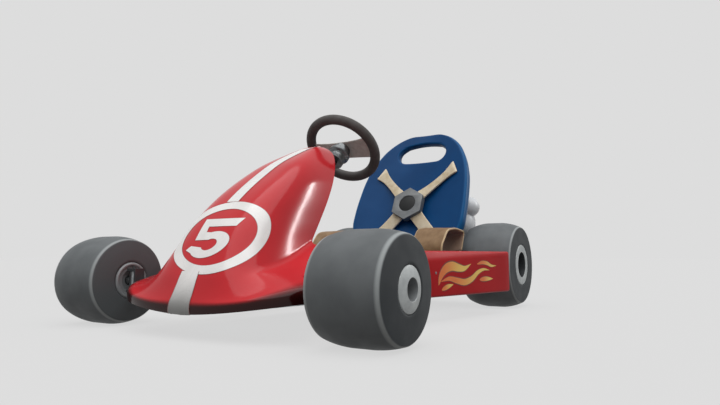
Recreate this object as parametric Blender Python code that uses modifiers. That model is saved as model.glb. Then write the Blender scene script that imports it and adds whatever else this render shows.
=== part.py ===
"""Racing kart: tubular frame, pointed nose cowl, side pods, bucket seat and rear engine.

Metres, +Z up. The kart faces -Y and its left side is +X. The origin is on the ground,
under the middle of the kart. Places along the kart are given aft of the front axle.
"""

import math

import bmesh
import bpy
import numpy as np
from mathutils import Matrix, Vector

# Driving dimensions
WHEELBASE = 1.165
FRONT_RADIUS = 0.127
FRONT_WIDTH = 0.178
FRONT_CENTRE_X = 0.448
FRONT_WALL_RADIUS = 0.113
FRONT_BORE = 0.052
REAR_RADIUS = 0.1635
REAR_WIDTH = 0.194
REAR_CENTRE_X = 0.3315
REAR_WALL_RADIUS = 0.144
REAR_BORE = 0.078
KINGPIN_X = 0.3365
RAIL_X = 0.185
RAIL_Z = 0.090
RAIL_RADIUS = 0.014
RAIL_REAR = 1.290
STEERING_AFT = 0.566
STEERING_Z = 0.564
STEERING_TILT = math.radians(45)
STEERING_RIM_RADIUS = 0.1196
STEERING_GRIP_RADIUS = 0.0168
SEAT_RECLINE = math.radians(24.5)
SEAT_HALF_WIDTH = 0.244
SEAT_THICKNESS = 0.050
SEAT_WRAP = 0.038
CRANK_AFT = 1.238
CRANK_Z = 0.285
CHAIN_X = -0.2155
AXLE_SPROCKET_RADIUS = 0.080
ENGINE_SPROCKET_RADIUS = AXLE_SPROCKET_RADIUS * 16 / 60
FRONT_TUBE_AFT = 0.090
COLUMN_TUBE_AFT = 0.280
SEAT_TUBE_AFT = 0.860
REAR_TUBE_AFT = 1.272
GAP = 0.0003

FRONT_AXLE_Y = -(WHEELBASE + REAR_RADIUS - FRONT_RADIUS) / 2
REAR_AXLE_Y = FRONT_AXLE_Y + WHEELBASE
LEFT, RIGHT = 1, -1
SIDES = (("left", LEFT), ("right", RIGHT))

for old in list(bpy.data.objects):
    bpy.data.objects.remove(old, do_unlink=True)

parts = bpy.data.collections.new("racing_kart")
cutters = bpy.data.collections.new("racing_kart_cutters")
bpy.context.scene.collection.children.link(parts)
bpy.context.scene.collection.children.link(cutters)


def aft(distance):
    """The y of a place this far behind the front axle."""
    return FRONT_AXLE_Y + distance


def finish(name, colour, roughness, metallic=0.0):
    """A plain material from an sRGB hex colour."""
    channels = [int(colour[i : i + 2], 16) / 255 for i in (0, 2, 4)]
    linear = [c / 12.92 if c < 0.04045 else ((c + 0.055) / 1.055) ** 2.4 for c in channels]
    made = bpy.data.materials.new(name)
    made.use_nodes = True
    shader = made.node_tree.nodes["Principled BSDF"]
    shader.inputs["Base Color"].default_value = (*linear, 1)
    shader.inputs["Roughness"].default_value = roughness
    shader.inputs["Metallic"].default_value = metallic
    made.diffuse_color = (*linear, 1)
    return made


BODY_RED = finish("red_bodywork", "C8242E", 0.25)
TYRE_GREY = finish("tyre_rubber", "55585A", 0.75)
WHEEL_GREY = finish("wheel_alloy", "9AA0A2", 0.45, 0.6)
FRAME_GREY = finish("frame_paint", "3A3D40", 0.45, 0.2)
STEEL = finish("plain_steel", "8C9092", 0.35, 0.9)
RIM_GRIP = finish("steering_grip", "4A4745", 0.6)
SPOKE_GREY = finish("steering_spoke", "7A7672", 0.4, 0.5)
SEAT_BLUE = finish("seat_blue", "1E4F94", 0.35)
WEBBING = finish("harness_webbing", "C9AF8C", 0.85)
LEATHER = finish("thigh_leather", "A8834F", 0.7)
BUCKLE_GREY = finish("buckle_alloy", "8D9496", 0.4, 0.5)
BLACK = finish("black_plastic", "1A1B1C", 0.5)
WHITE_SHELL = finish("silencer_white", "E4E6EA", 0.3)
ENGINE_ALLOY = finish("engine_alloy", "A5A8AA", 0.5, 0.7)
TRAY_ALLOY = finish("tray_alloy", "9EA2A5", 0.5, 0.8)
TANK_PLASTIC = finish("tank_plastic", "D9D6C8", 0.5)
CHAIN_STEEL = finish("chain_steel", "5B5550", 0.4, 0.9)


def add(name, mesh, material, at=(0, 0, 0), turn=(0, 0, 0)):
    """A new part from a mesh."""
    made = bpy.data.objects.new(name, mesh)
    made.location = at
    made.rotation_euler = turn
    mesh.materials.clear()
    mesh.materials.append(material)
    parts.objects.link(made)
    return made


def smooth(made, angle=40):
    """Shades a round part smooth, with its edges kept sharp."""
    made.data.shade_smooth()
    made.data.set_sharp_from_angle(angle=math.radians(angle))
    return made


def mesh_of(name, make):
    """A mesh filled in by a function of a bmesh."""
    mesh = bpy.data.meshes.new(name)
    shape = bmesh.new()
    make(shape)
    bmesh.ops.recalc_face_normals(shape, faces=shape.faces)
    shape.to_mesh(mesh)
    shape.free()
    return mesh


def box(name, low, high, material, bevel=0.0):
    """A block between two corners, its edges rounded where a bevel is given."""
    low, high = Vector(low), Vector(high)

    def make(shape):
        bmesh.ops.create_cube(shape, size=1, matrix=Matrix.Diagonal((*(high - low), 1)))

    made = add(name, mesh_of(name, make), material, (low + high) / 2)
    if bevel:
        rounding = made.modifiers.new("edges", "BEVEL")
        rounding.width = bevel
        rounding.segments = 2
        rounding.limit_method = "ANGLE"
        smooth(made)
    return made


def rod(name, start, end, radius, material, sides=16):
    """A straight round bar between two points."""
    start, end = Vector(start), Vector(end)
    along = end - start

    def make(shape):
        bmesh.ops.create_cone(
            shape, cap_ends=True, segments=sides, radius1=radius, radius2=radius, depth=along.length
        )

    made = add(name, mesh_of(name, make), material, (start + end) / 2)
    made.rotation_euler = along.to_track_quat("Z", "Y").to_euler()
    return smooth(made)


def turned(name, profile, material, at, turn=(0, 0, 0), steps=36, ring=True):
    """A turned part: (radius, height) points run down the outer side and round."""
    mesh = bpy.data.meshes.new(name)
    count = len(profile)
    edges = [(i, i + 1) for i in range(count - 1)] + ([(count - 1, 0)] if ring else [])
    mesh.from_pydata([(radius, 0, height) for radius, height in profile], edges, [])
    made = add(name, mesh, material, at, turn)
    screw = made.modifiers.new("turning", "SCREW")
    screw.steps = steps
    screw.render_steps = steps
    screw.use_merge_vertices = True
    screw.merge_threshold = 0.00001
    return smooth(as_mesh(made), 30)


def tube(name, points, radius, material, bevel_resolution=3):
    """A bent round tube through smooth points, with filled ends."""
    curve = bpy.data.curves.new(name, "CURVE")
    curve.dimensions = "3D"
    curve.bevel_depth = radius
    curve.bevel_resolution = bevel_resolution
    curve.use_fill_caps = True
    spline = curve.splines.new("POLY")
    spline.points.add(len(points) - 1)
    for knot, place in zip(spline.points, points):
        knot.co = (*place, 1)
    made = bpy.data.objects.new(name, curve)
    curve.materials.append(material)
    parts.objects.link(made)
    return made


def plate(name, outlines, thickness, material, at, turn=(0, 0, 0)):
    """A flat plate from one outline and any holes in it."""
    curve = bpy.data.curves.new(name, "CURVE")
    curve.dimensions = "2D"
    curve.fill_mode = "BOTH"
    curve.extrude = thickness / 2
    for outline in outlines:
        spline = curve.splines.new("POLY")
        spline.points.add(len(outline) - 1)
        for knot, place in zip(spline.points, outline):
            knot.co = (place[0], place[1], 0, 1)
        spline.use_cyclic_u = True
    made = bpy.data.objects.new(name, curve)
    made.location = at
    made.rotation_euler = turn
    curve.materials.append(material)
    parts.objects.link(made)
    return made


def as_mesh(made):
    """A curve object remade as a mesh, its caps welded, so that it can be cut or joined."""
    bpy.context.view_layer.update()
    name = made.name
    graph = bpy.context.evaluated_depsgraph_get()
    mesh = bpy.data.meshes.new_from_object(made.evaluated_get(graph))
    shape = bmesh.new()
    shape.from_mesh(mesh)
    bmesh.ops.remove_doubles(shape, verts=shape.verts, dist=0.00001)
    bmesh.ops.recalc_face_normals(shape, faces=shape.faces)
    shape.to_mesh(mesh)
    shape.free()
    place = made.matrix_world.copy()
    bpy.data.objects.remove(made)
    made = bpy.data.objects.new(name, mesh)
    made.matrix_world = place
    parts.objects.link(made)
    return made


def combine(made, other, operation):
    """Joins another shape to a part, or cuts it away; the other becomes a hidden helper."""
    if other.type == "CURVE":
        other = as_mesh(other)
    step = made.modifiers.new(operation.lower(), "BOOLEAN")
    step.operation = operation
    step.object = other
    step.solver = "EXACT"
    if other.name in parts.objects:
        parts.objects.unlink(other)
        cutters.objects.link(other)
    other.hide_render = True
    other.display_type = "WIRE"
    return made


def union(made, *others):
    """Joins each of the other shapes to a part."""
    for other in others:
        combine(made, other, "UNION")
    return made


def cut(made, *others):
    """Cuts each of the other shapes out of a part."""
    for other in others:
        combine(made, other, "DIFFERENCE")
    return made


def spline_values(knots, values, at):
    """A smooth curve through the knots: cubic pieces whose slopes follow their neighbours."""
    knots, values, at = (np.asarray(item, float) for item in (knots, values, at))
    slopes = np.gradient(values, knots)
    piece = np.clip(np.searchsorted(knots, at) - 1, 0, len(knots) - 2)
    width = knots[piece + 1] - knots[piece]
    t = (at - knots[piece]) / width
    rise = values[piece + 1] - values[piece]
    lower = slopes[piece] * width
    upper = slopes[piece + 1] * width
    square = t**2 * (3 * rise - 2 * lower - upper)
    cube = t**3 * (lower + upper - 2 * rise)
    return values[piece] + t * lower + square + cube


def smooth_path(points, count):
    """Evenly numbered places on one smooth curve through hand-chosen points."""
    points = np.asarray(points, float)
    steps = np.concatenate([[0], np.cumsum(np.linalg.norm(np.diff(points, axis=0), axis=1))])
    at = np.linspace(0, steps[-1], count)
    columns = [spline_values(steps, points[:, i], at) for i in range(points.shape[1])]
    return np.stack(columns, axis=1)


def even_by_length(x, y, count):
    """Indices, as fractions, that space a dense curve evenly by its length."""
    length = np.concatenate([[0], np.cumsum(np.hypot(np.diff(x), np.diff(y)))])
    return np.interp(np.linspace(0, length[-1], count), length, np.arange(len(x)))


def grid_quads(down, across):
    """The point numbers of a grid, and its four-sided faces."""
    index = np.arange(down * across).reshape(down, across)
    corners = [index[:-1, :-1], index[:-1, 1:], index[1:, 1:], index[1:, :-1]]
    return index, np.stack(corners, axis=-1).reshape(-1, 4)


def sheet(name, rows, material, thickness, caps=()):
    """A shell from rows of points, given its wall inwards; caps are extra faces by (row, column)."""
    rows = np.asarray(rows, float)
    index, quads = grid_quads(*rows.shape[:2])
    faces = quads.tolist()
    faces += [[int(index[row, column]) for row, column in cap] for cap in caps]
    mesh = bpy.data.meshes.new(name)
    mesh.from_pydata(rows.reshape(-1, 3).tolist(), [], faces)
    made = add(name, mesh, material)
    wall = made.modifiers.new("wall", "SOLIDIFY")
    wall.thickness = thickness
    wall.offset = -1
    wall.use_quality_normals = True
    return smooth(made)


def closed_mesh(name, points, faces, material):
    """A part from hand-built faces, all turned outwards."""
    mesh = bpy.data.meshes.new(name)
    mesh.from_pydata(points, [], faces)
    shape = bmesh.new()
    shape.from_mesh(mesh)
    bmesh.ops.recalc_face_normals(shape, faces=shape.faces)
    shape.to_mesh(mesh)
    shape.free()
    return smooth(add(name, mesh, material))


def slab(name, over, under, material):
    """A closed wall between two grids of points, one over the other."""
    over = np.asarray(over, float)
    under = np.asarray(under, float)
    index, quads = grid_quads(*over.shape[:2])
    rim = np.concatenate([index[0], index[1:, -1], index[-1, -2::-1], index[-2:0:-1, 0]])
    after = np.roll(rim, -1)
    size = index.size
    sides = np.stack([rim, after, after + size, rim + size], axis=-1)
    faces = quads.tolist() + (quads + size).tolist() + sides.tolist()
    points = over.reshape(-1, 3).tolist() + under.reshape(-1, 3).tolist()
    return closed_mesh(name, points, faces, material)


def solid_loft(name, rings, material):
    """A closed body through rings of points, with its two ends capped."""
    rings = np.asarray(rings, float)
    count, around = rings.shape[:2]
    index = np.arange(count * around).reshape(count, around)
    after = np.roll(index, -1, axis=1)
    corners = [index[:-1], after[:-1], after[1:], index[1:]]
    faces = np.stack(corners, axis=-1).reshape(-1, 4).tolist()
    faces += [index[0].tolist(), index[-1].tolist()]
    return closed_mesh(name, rings.reshape(-1, 3).tolist(), faces, material)


def arc(centre, radius, start, end, count):
    """Points on an arc, angles in degrees."""
    angles = np.radians(np.linspace(start, end, count))
    return [(centre[0] + radius * math.cos(a), centre[1] + radius * math.sin(a)) for a in angles]


# Wheels
def tyre_profile(radius, wall_radius, width, bore, bulge, skin):
    """Half-round tread, sloped sidewalls and the open hollow inside, as one closed loop."""
    half = width / 2
    tread = []
    for across in (0.97, 0.78, 0.30, -0.30, -0.78, -0.97):
        crown = min(1, 1.046 * (1 - abs(across) ** 2.6))
        tread.append((wall_radius + (radius - wall_radius) * crown, across * half))
    middle = (bore + wall_radius) / 2
    top = [(bore, half + bulge), (middle, half + 0.7 * bulge), (wall_radius - 0.003, half)]
    bottom = [(wall_radius - 0.003, -half), (bore, -half - bulge)]
    hollow = [
        (bore, -half + skin),
        (wall_radius - skin, -half + skin),
        (radius - 1.4 * skin, -0.5 * half),
        (radius - 1.4 * skin, 0.5 * half),
        (wall_radius - skin, half - skin),
        (bore, half - skin),
    ]
    return top + tread + bottom + hollow


def front_wheels():
    """Low round slicks on deep alloy wheels with a bored hub."""
    bulge = 0.010
    profile = tyre_profile(FRONT_RADIUS, FRONT_WALL_RADIUS, FRONT_WIDTH, FRONT_BORE, bulge, 0.012)
    seat = FRONT_BORE - 3 * GAP
    hub = [
        (0.0245, 0.106),
        (0.0500, 0.0995),
        (seat, 0.0970),
        (seat, -0.0970),
        (0.0480, -0.1005),
        (0.0440, -0.1005),
        (0.0430, -0.0790),
        (0.0088, -0.0790),
        (0.0088, 0.0500),
        (0.0245, 0.0500),
    ]
    for side, sign in SIDES:
        place = (sign * FRONT_CENTRE_X, FRONT_AXLE_Y, FRONT_RADIUS)
        turn = (0, sign * math.pi / 2, 0)
        turned(f"front_tyre_{side}", profile, TYRE_GREY, place, turn, 32)
        turned(f"front_wheel_hub_{side}", hub, WHEEL_GREY, place, turn, 24)


def rear_wheels():
    """Wider, taller slicks on hubs that turn with the axle."""
    profile = tyre_profile(REAR_RADIUS, REAR_WALL_RADIUS, REAR_WIDTH, REAR_BORE, 0.003, 0.014)
    seat = REAR_BORE - 3 * GAP
    axle = 0.0165 + GAP
    hub = [
        (0.0480, 0.1010),
        (0.0755, 0.1010),
        (seat, 0.0985),
        (seat, -0.0985),
        (0.0720, -0.1000),
        (0.0660, -0.1000),
        (0.0600, -0.0800),
        (0.0300, -0.0700),
        (0.0300, -0.0950),
        (axle, -0.0950),
        (axle, 0.0200),
        (0.0480, 0.0300),
    ]
    for side, sign in SIDES:
        place = (sign * REAR_CENTRE_X, REAR_AXLE_Y, REAR_RADIUS)
        turn = (0, sign * math.pi / 2, 0)
        turned(f"rear_tyre_{side}", profile, TYRE_GREY, place, turn, 32)
        turned(f"rear_wheel_hub_{side}", hub, WHEEL_GREY, place, turn, 24)


# Frame
def chassis():
    """The welded frame: two rails and four crossmembers, with the seat's post."""
    front, rear = aft(-0.030), aft(RAIL_REAR)
    frame, other = (
        rod(name, (x, front, RAIL_Z), (x, rear, RAIL_Z), RAIL_RADIUS, FRAME_GREY)
        for name, x in (("chassis_frame", RAIL_X), ("right_rail", -RAIL_X))
    )
    reach = RAIL_X - 0.004
    for distance in (FRONT_TUBE_AFT, COLUMN_TUBE_AFT, SEAT_TUBE_AFT, REAR_TUBE_AFT):
        y = aft(distance)
        name = f"crossmember_{round(1000 * distance)}"
        union(frame, rod(name, (-reach, y, RAIL_Z), (reach, y, RAIL_Z), 0.012, FRAME_GREY))
    post_y = aft(SEAT_TUBE_AFT)
    low, high = (-0.060, post_y - 0.010, RAIL_Z), (0.060, post_y + 0.010, 0.130)
    union(frame, other, box("seat_post", low, high, FRAME_GREY))
    inner = RAIL_X - RAIL_RADIUS - GAP
    rod("pedal_pivot_rod", (-inner, aft(0.045), RAIL_Z), (inner, aft(0.045), RAIL_Z), 0.005, STEEL, 16)
    top = RAIL_Z - RAIL_RADIUS - GAP
    corners = [(0.168, -0.022), (0.190, 0.000), (0.198, 0.100), (0.198, 0.660), (0.170, 0.690)]
    outline = [(x, aft(d)) for x, d in corners] + [(-x, aft(d)) for x, d in reversed(corners)]
    plate("floor_tray", [outline], 0.003, TRAY_ALLOY, (0, 0, top - 0.0015))


def front_bumper():
    """A tube from rail end to rail end, just inside the cowl's lip."""
    half = [
        (0.000, -0.099, 0.078),
        (0.080, -0.095, 0.078),
        (0.135, -0.083, 0.080),
        (0.170, -0.064, 0.085),
        (RAIL_X, -0.042, RAIL_Z),
        (RAIL_X, -0.0315, RAIL_Z),
    ]
    whole = [(-x, aft(d), z) for x, d, z in half[:0:-1]] + [(x, aft(d), z) for x, d, z in half]
    tube("front_bumper", smooth_path(whole, 23), 0.008, FRAME_GREY, 1)


def front_axle():
    """A tube on top of the rails with a yoke and kingpin at each end."""
    z = RAIL_Z + RAIL_RADIUS + 0.011 + GAP
    half = KINGPIN_X - 0.020
    beam = rod("front_axle_beam", (-half, aft(0), z), (half, aft(0), z), 0.011, FRAME_GREY)
    low, high = FRONT_RADIUS - 0.0335, FRONT_RADIUS + 0.0335
    inner, back, reach = KINGPIN_X - 0.024, KINGPIN_X - 0.017, KINGPIN_X + 0.014
    plates = (
        ("web", back, low, high),
        ("lower", reach, low, low + 0.007),
        ("upper", reach, high - 0.007, high),
    )
    for side, sign in SIDES:
        for part, outer, bottom, top in plates:
            near, far = sorted((sign * inner, sign * outer))
            corners = (near, aft(-0.015), bottom), (far, aft(0.015), top)
            union(beam, box(f"yoke_{part}_{side}", *corners, FRAME_GREY))
        x = sign * KINGPIN_X
        ends = (x, aft(0), low - 0.004), (x, aft(0), high + 0.006)
        union(beam, rod(f"kingpin_{side}", *ends, 0.006, STEEL))


def knuckles():
    """Each turns on its kingpin and carries the stub axle and a steering arm pointing back."""
    for side, sign in SIDES:
        x, z = sign * KINGPIN_X, FRONT_RADIUS
        ring = [(0.013, 0.026), (0.013, -0.026), (0.0063, -0.026), (0.0063, 0.026)]
        knuckle = turned(f"knuckle_{side}", ring, STEEL, (x, aft(0), z), (0, 0, 0), 16)
        for part, near, far, radius, sides in (
            ("stub_axle", 0.010, 0.176, 0.0085, 16),
            ("stub_collar", 0.012, 0.0315, 0.012, 16),
            ("stub_nut", 0.1625, 0.172, 0.014, 6),
        ):
            ends = (x + sign * near, aft(0), z), (x + sign * far, aft(0), z)
            union(knuckle, rod(f"{part}_{side}", *ends, radius, STEEL, sides))
        corners = (x - 0.008, aft(0.010), 0.104), (x + 0.008, aft(0.129), 0.112)
        union(knuckle, box(f"steering_arm_{side}", *corners, STEEL))
        stud = (x, aft(0.120), 0.108), (x, aft(0.120), 0.1275)
        union(knuckle, rod(f"arm_stud_{side}", *stud, 0.004, STEEL, 12))


# Steering
COLUMN = Vector((0, math.cos(STEERING_TILT), math.sin(STEERING_TILT)))
HUB_CENTRE = Vector((0, aft(STEERING_AFT), STEERING_Z))
ACROSS_COLUMN = Vector((0, math.sin(STEERING_TILT), -math.cos(STEERING_TILT)))
COLUMN_TURN = (STEERING_TILT - math.pi / 2, 0, 0)
PITMAN_DOWN = 0.595
LOWER_BEARING_DOWN = 0.6165
PITMAN_LENGTH = 0.044
SHAFT_RADIUS = 0.011


def on_column(down, out=0.0):
    """A place down the column from the wheel, and out from it towards the seat."""
    return HUB_CENTRE - COLUMN * down + ACROSS_COLUMN * out


def steering_wheel():
    """A fat round rim, a two-armed spoke plate and a stepped hub on the shaft."""
    bpy.ops.mesh.primitive_torus_add(
        major_segments=36,
        minor_segments=9,
        major_radius=STEERING_RIM_RADIUS,
        minor_radius=STEERING_GRIP_RADIUS,
    )
    rim = bpy.context.active_object
    rim.name = "steering_rim"
    rim.location = HUB_CENTRE
    rim.rotation_euler = COLUMN_TURN
    rim.data.materials.append(RIM_GRIP)
    for collection in list(rim.users_collection):
        collection.objects.unlink(rim)
    parts.objects.link(rim)
    smooth(rim)
    reach = STEERING_RIM_RADIUS - STEERING_GRIP_RADIUS - GAP
    half = arc((0, 0), reach, -19, 19, 7) + [(0.030, 0.016), (0.020, 0.024)]
    outline = half + [(-0.020, 0.024), (-0.030, 0.016)]
    outline += arc((0, 0), reach, 161, 199, 7) + [(-0.030, -0.016), (-0.020, -0.024)]
    outline += [(0.020, -0.024), (0.030, -0.016)]
    hole = arc((0, 0), 0.0123, 0, 345, 24)
    plate("steering_spokes", [outline, hole], 0.005, SPOKE_GREY, HUB_CENTRE, COLUMN_TURN)
    step = 0.0028
    hub = [
        (0.0, 0.0095),
        (0.0190, 0.0095),
        (0.0220, step),
        (0.0120, step),
        (0.0120, -step),
        (0.0310, -step),
        (0.0310, -0.0220),
        (0.0390, -0.0250),
        (0.0390, -0.0410),
        (0.0270, -0.0450),
        (0.0300, -0.0520),
        (0.0300, -0.0740),
        (0.0, -0.0740),
    ]
    turned("steering_hub", hub, STEEL, HUB_CENTRE, COLUMN_TURN, 20, ring=False)


def column_block(name, near, far, half, material):
    """A square block between two places down the column."""
    block = box(name, (-half, -half, near), (half, half, far), material)
    block.location = on_column((near + far) / 2)
    block.rotation_euler = COLUMN_TURN
    return block


def steering_column():
    """The shaft with its drop arm, held by one bearing on a frame and one on the front tube."""
    start, end = on_column(0.0743), on_column(LOWER_BEARING_DOWN + 0.0072)
    shaft = rod("steering_shaft", start, end, SHAFT_RADIUS, BLACK, 20)
    length = PITMAN_LENGTH + 0.010
    outline = [(-0.016, -0.014), (0.016, -0.014), (0.0075, length), (-0.0075, length)]
    arm = plate("drop_arm", [outline], 0.008, STEEL, on_column(PITMAN_DOWN), COLUMN_TURN)
    union(shaft, arm)
    bore = SHAFT_RADIUS + GAP
    ring = [(0.020, 0.011), (0.020, -0.011), (bore, -0.011), (bore, 0.011)]
    upper_down, lower_down = 0.286, LOWER_BEARING_DOWN
    turned("column_bearing_upper", ring, FRAME_GREY, on_column(upper_down), COLUMN_TURN, 24)
    lower = turned("column_bearing_lower", ring, FRAME_GREY, on_column(lower_down), COLUMN_TURN, 24)
    union(lower, column_block("bearing_block", lower_down + 0.0075, 0.6595, 0.016, FRAME_GREY))
    top = on_column(upper_down, 0.020 + 0.009 + GAP)
    foot_y, foot_z = aft(COLUMN_TUBE_AFT), RAIL_Z + 0.012 + 0.009 + GAP
    half = [
        (0.012, top.y, top.z),
        (0.020, top.y - 0.004, top.z - 0.020),
        (0.052, foot_y, foot_z + 0.030),
        (0.056, foot_y, foot_z),
    ]
    tube("steering_support", [(-x, y, z) for x, y, z in half[::-1]] + half, 0.009, FRAME_GREY)


def tie_rods():
    """A rod from each steering arm to the drop arm, with an eye at each end."""
    z = 0.1185
    drop = on_column(PITMAN_DOWN, PITMAN_LENGTH)
    for side, sign in SIDES:
        x = sign * KINGPIN_X
        ring = [(0.010, 0.0055), (0.010, -0.0055), (0.0043, -0.0055), (0.0043, 0.0055)]
        eye = turned(f"tie_rod_{side}", ring, STEEL, (x, aft(0.120), z), (0, 0, 0), 14)
        inner = Vector((sign * 0.0275, drop.y, drop.z))
        outer = Vector((x, aft(0.120), z))
        along = (inner - outer).normalized()
        bar = rod(f"tie_bar_{side}", outer + along * 0.008, inner - along * 0.004, 0.006, STEEL, 10)
        up = Vector((0, 0, 0.008))
        end = rod(f"tie_end_{side}", inner - up, inner + up, 0.008, STEEL)
        union(eye, bar, end)


PEDAL_X = 0.095


def pedals():
    """A stem and foot bar on a barrel that turns on the pivot rod."""
    for side, sign in SIDES:
        name = "brake_pedal" if sign == LEFT else "throttle_pedal"
        x = sign * PEDAL_X
        ring = [(0.010, 0.016), (0.010, -0.016), (0.0053, -0.016), (0.0053, 0.016)]
        barrel = turned(name, ring, STEEL, (x, aft(0.045), RAIL_Z), (0, math.pi / 2, 0), 16)
        y, z = aft(0.030), 0.215
        stem = rod(f"pedal_stem_{side}", (x, aft(0.044), 0.0985), (x, y, z), 0.006, STEEL, 12)
        bar = rod(f"pedal_bar_{side}", (x - 0.034, y, z), (x + 0.034, y, z), 0.009, STEEL, 12)
        union(barrel, stem, bar)


# Bodywork
LIP_HALF_WIDTH = 0.312
LIP_DEPTH = 0.1765
LIP_CENTRE_AFT = 0.0514
LIP_POWER = 2.9
HOOD_POWER = 4.29
HOOD_LEVELS = (0.152, 0.241, 0.330, 0.419, 0.495, 0.546)
HOOD_FRONT_AFT = (-0.0965, -0.0425, 0.0345, 0.1585, 0.2720, 0.4280)
HOOD_REAR_AFT = (0.1130, 0.2010, 0.2720, 0.3450, 0.4230, 0.4560)
HOOD_HALF_WIDTH = (0.1740, 0.1490, 0.1355, 0.1110, 0.0720, 0.0270)
HALF_COLUMNS = 17


def lip_half():
    """The plan of the cowl's lip, front middle to rear end: a squared ellipse, then straight."""
    angle = np.radians(np.linspace(0, 90, 200))
    x = LIP_HALF_WIDTH * np.sin(angle) ** (2 / LIP_POWER)
    y = LIP_CENTRE_AFT - LIP_DEPTH * np.cos(angle) ** (2 / LIP_POWER)
    x = np.append(x, LIP_HALF_WIDTH)
    y = np.append(y, 0.160)
    at = even_by_length(x, y, HALF_COLUMNS)
    places = np.arange(len(x))
    return np.interp(at, places, x), np.interp(at, places, y)


def hood_half(heights):
    """The hood's plan at each column's own height: a blunt squared ellipse, open at the back."""
    front = spline_values(HOOD_LEVELS, HOOD_FRONT_AFT, heights)
    rear = spline_values(HOOD_LEVELS, HOOD_REAR_AFT, heights)
    width = spline_values(HOOD_LEVELS, HOOD_HALF_WIDTH, heights)
    dense = np.radians(np.linspace(0, 90, 400))
    shape_x = np.sin(dense) ** (2 / HOOD_POWER)
    shape_y = 1 - np.cos(dense) ** (2 / HOOD_POWER)
    depth = float((rear - front).mean() / width.mean())
    at = even_by_length(shape_x, shape_y * depth, HALF_COLUMNS)
    places = np.arange(len(dense))
    x = width * np.interp(at, places, shape_x)
    y = front + (rear - front) * np.interp(at, places, shape_y)
    return x, y


def whole_row(x, y, z):
    """Both halves of a row, right side first."""
    half = np.stack([x, aft(0) + y, z], axis=1)
    other = half[:0:-1] * (-1, 1, 1)
    return np.concatenate([other, half])


def cowl_rows():
    """Rows of the nose from the lip's lower edge, over the apron, to the top of the hood."""
    along = np.linspace(0, 1, HALF_COLUMNS)
    lip_x, lip_y = lip_half()
    share = lip_x / LIP_HALF_WIDTH
    straight = np.clip((lip_y - LIP_CENTRE_AFT) / (0.160 - LIP_CENTRE_AFT), 0, 1)
    lip_top = 0.0862 + 0.0417 * share**2.8 + 0.010 * straight
    lip_low = 0.0584 + 0.0316 * share**1.58
    crease = spline_values((0, 0.35, 0.62, 0.80, 1), (0.150, 0.157, 0.167, 0.186, 0.231), along)
    hood_x, hood_y = hood_half(crease)
    rows = [whole_row(lip_x - 0.004 * share, lip_y, lip_low), whole_row(lip_x, lip_y, lip_top)]
    bend = spline_values((0, 0.4, 0.65, 1), (1.0, 1.5, 1.1, 0.42), along)
    for v in (0.18, 0.42, 0.66, 0.86):
        rise = v**bend
        x = lip_x + (hood_x - lip_x) * v
        y = lip_y + (hood_y - lip_y) * v
        rows.append(whole_row(x, y, lip_top + (crease - lip_top) * rise))
    rows.append(whole_row(hood_x, hood_y, crease))
    for t in (0.12, 0.26, 0.40, 0.54, 0.68, 0.80, 0.90, 0.97, 1.0):
        height = crease + (HOOD_LEVELS[-1] - crease) * t
        x, y = hood_half(height)
        rows.append(whole_row(x, y, height))
    return rows


def nose_cowl():
    """One moulded shell: lip, apron and the hood over the column, notched for the axle."""
    rows = cowl_rows()
    last = len(rows) - 1
    middle = HALF_COLUMNS - 1
    caps = []
    for i in range(middle - 1):
        other = 2 * middle - i
        caps.append([(last, i), (last, i + 1), (last, other - 1), (last, other)])
    caps.append([(last, middle - 1), (last, middle), (last, middle + 1)])
    cowl = sheet("nose_cowl", rows, BODY_RED, 0.004, caps)
    notches = (("axle", 0.281, -0.0165, 0.026), ("arm", 0.250, 0.025, 0.1485))
    for side, sign in SIDES:
        for part, inner, front, back in notches:
            near, far = sorted((sign * inner, sign * 0.345))
            corners = (near, aft(front), 0.040), (far, aft(back), 0.150)
            cut(cowl, box(f"{part}_notch_{side}", *corners, BODY_RED))


POD_FRONT, POD_REAR = 0.184, 0.958
POD_LOW, POD_HIGH = 0.073, 0.212


def pod_outer(distance):
    """How far out a pod's wall stands: it flares towards the back."""
    return 0.296 + 0.200 * (distance - 0.190)


def side_pods():
    """A long moulded box on each side, open inwards, with a chamfer that narrows to the back."""
    for side, sign in SIDES:
        rows = []
        for distance in np.linspace(POD_FRONT, POD_REAR, 7):
            share = (distance - POD_FRONT) / (POD_REAR - POD_FRONT)
            chamfer = 0.040 - 0.033 * share
            out = pod_outer(distance)
            section = [
                (out - 0.060, POD_LOW),
                (out - 0.008, POD_LOW),
                (out, POD_LOW + 0.008),
                (out, POD_HIGH - chamfer),
                (out - 0.35 * chamfer, POD_HIGH - 0.002),
                (out - 0.35 * chamfer - 0.004, POD_HIGH),
                (out - 0.068, POD_HIGH),
            ]
            rows.append([(sign * x, aft(distance), z) for x, z in section])
        rows = np.array(rows)
        if sign == RIGHT:
            rows = rows[:, ::-1]
        count = rows.shape[1]
        front = [(0, i) for i in reversed(range(count))]
        back = [(len(rows) - 1, i) for i in range(count)]
        sheet(f"side_pod_{side}", rows, BODY_RED, 0.004, [front, back])
        inner = RAIL_X + RAIL_RADIUS + GAP
        reach = [
            (inner, 0.300, 0.100),
            (0.250, 0.305, 0.110),
            (pod_outer(0.34) - 0.022, 0.340, 0.125),
            (pod_outer(0.45) - 0.020, 0.450, 0.130),
            (pod_outer(0.75) - 0.020, 0.750, 0.130),
            (pod_outer(0.84) - 0.024, 0.840, 0.125),
            (0.300, 0.885, 0.110),
            (inner, 0.890, 0.100),
        ]
        points = [(sign * x, aft(d), z) for x, d, z in smooth_path(reach, 18)]
        tube(f"side_bar_{side}", points, 0.009, FRAME_GREY, 1)


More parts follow.
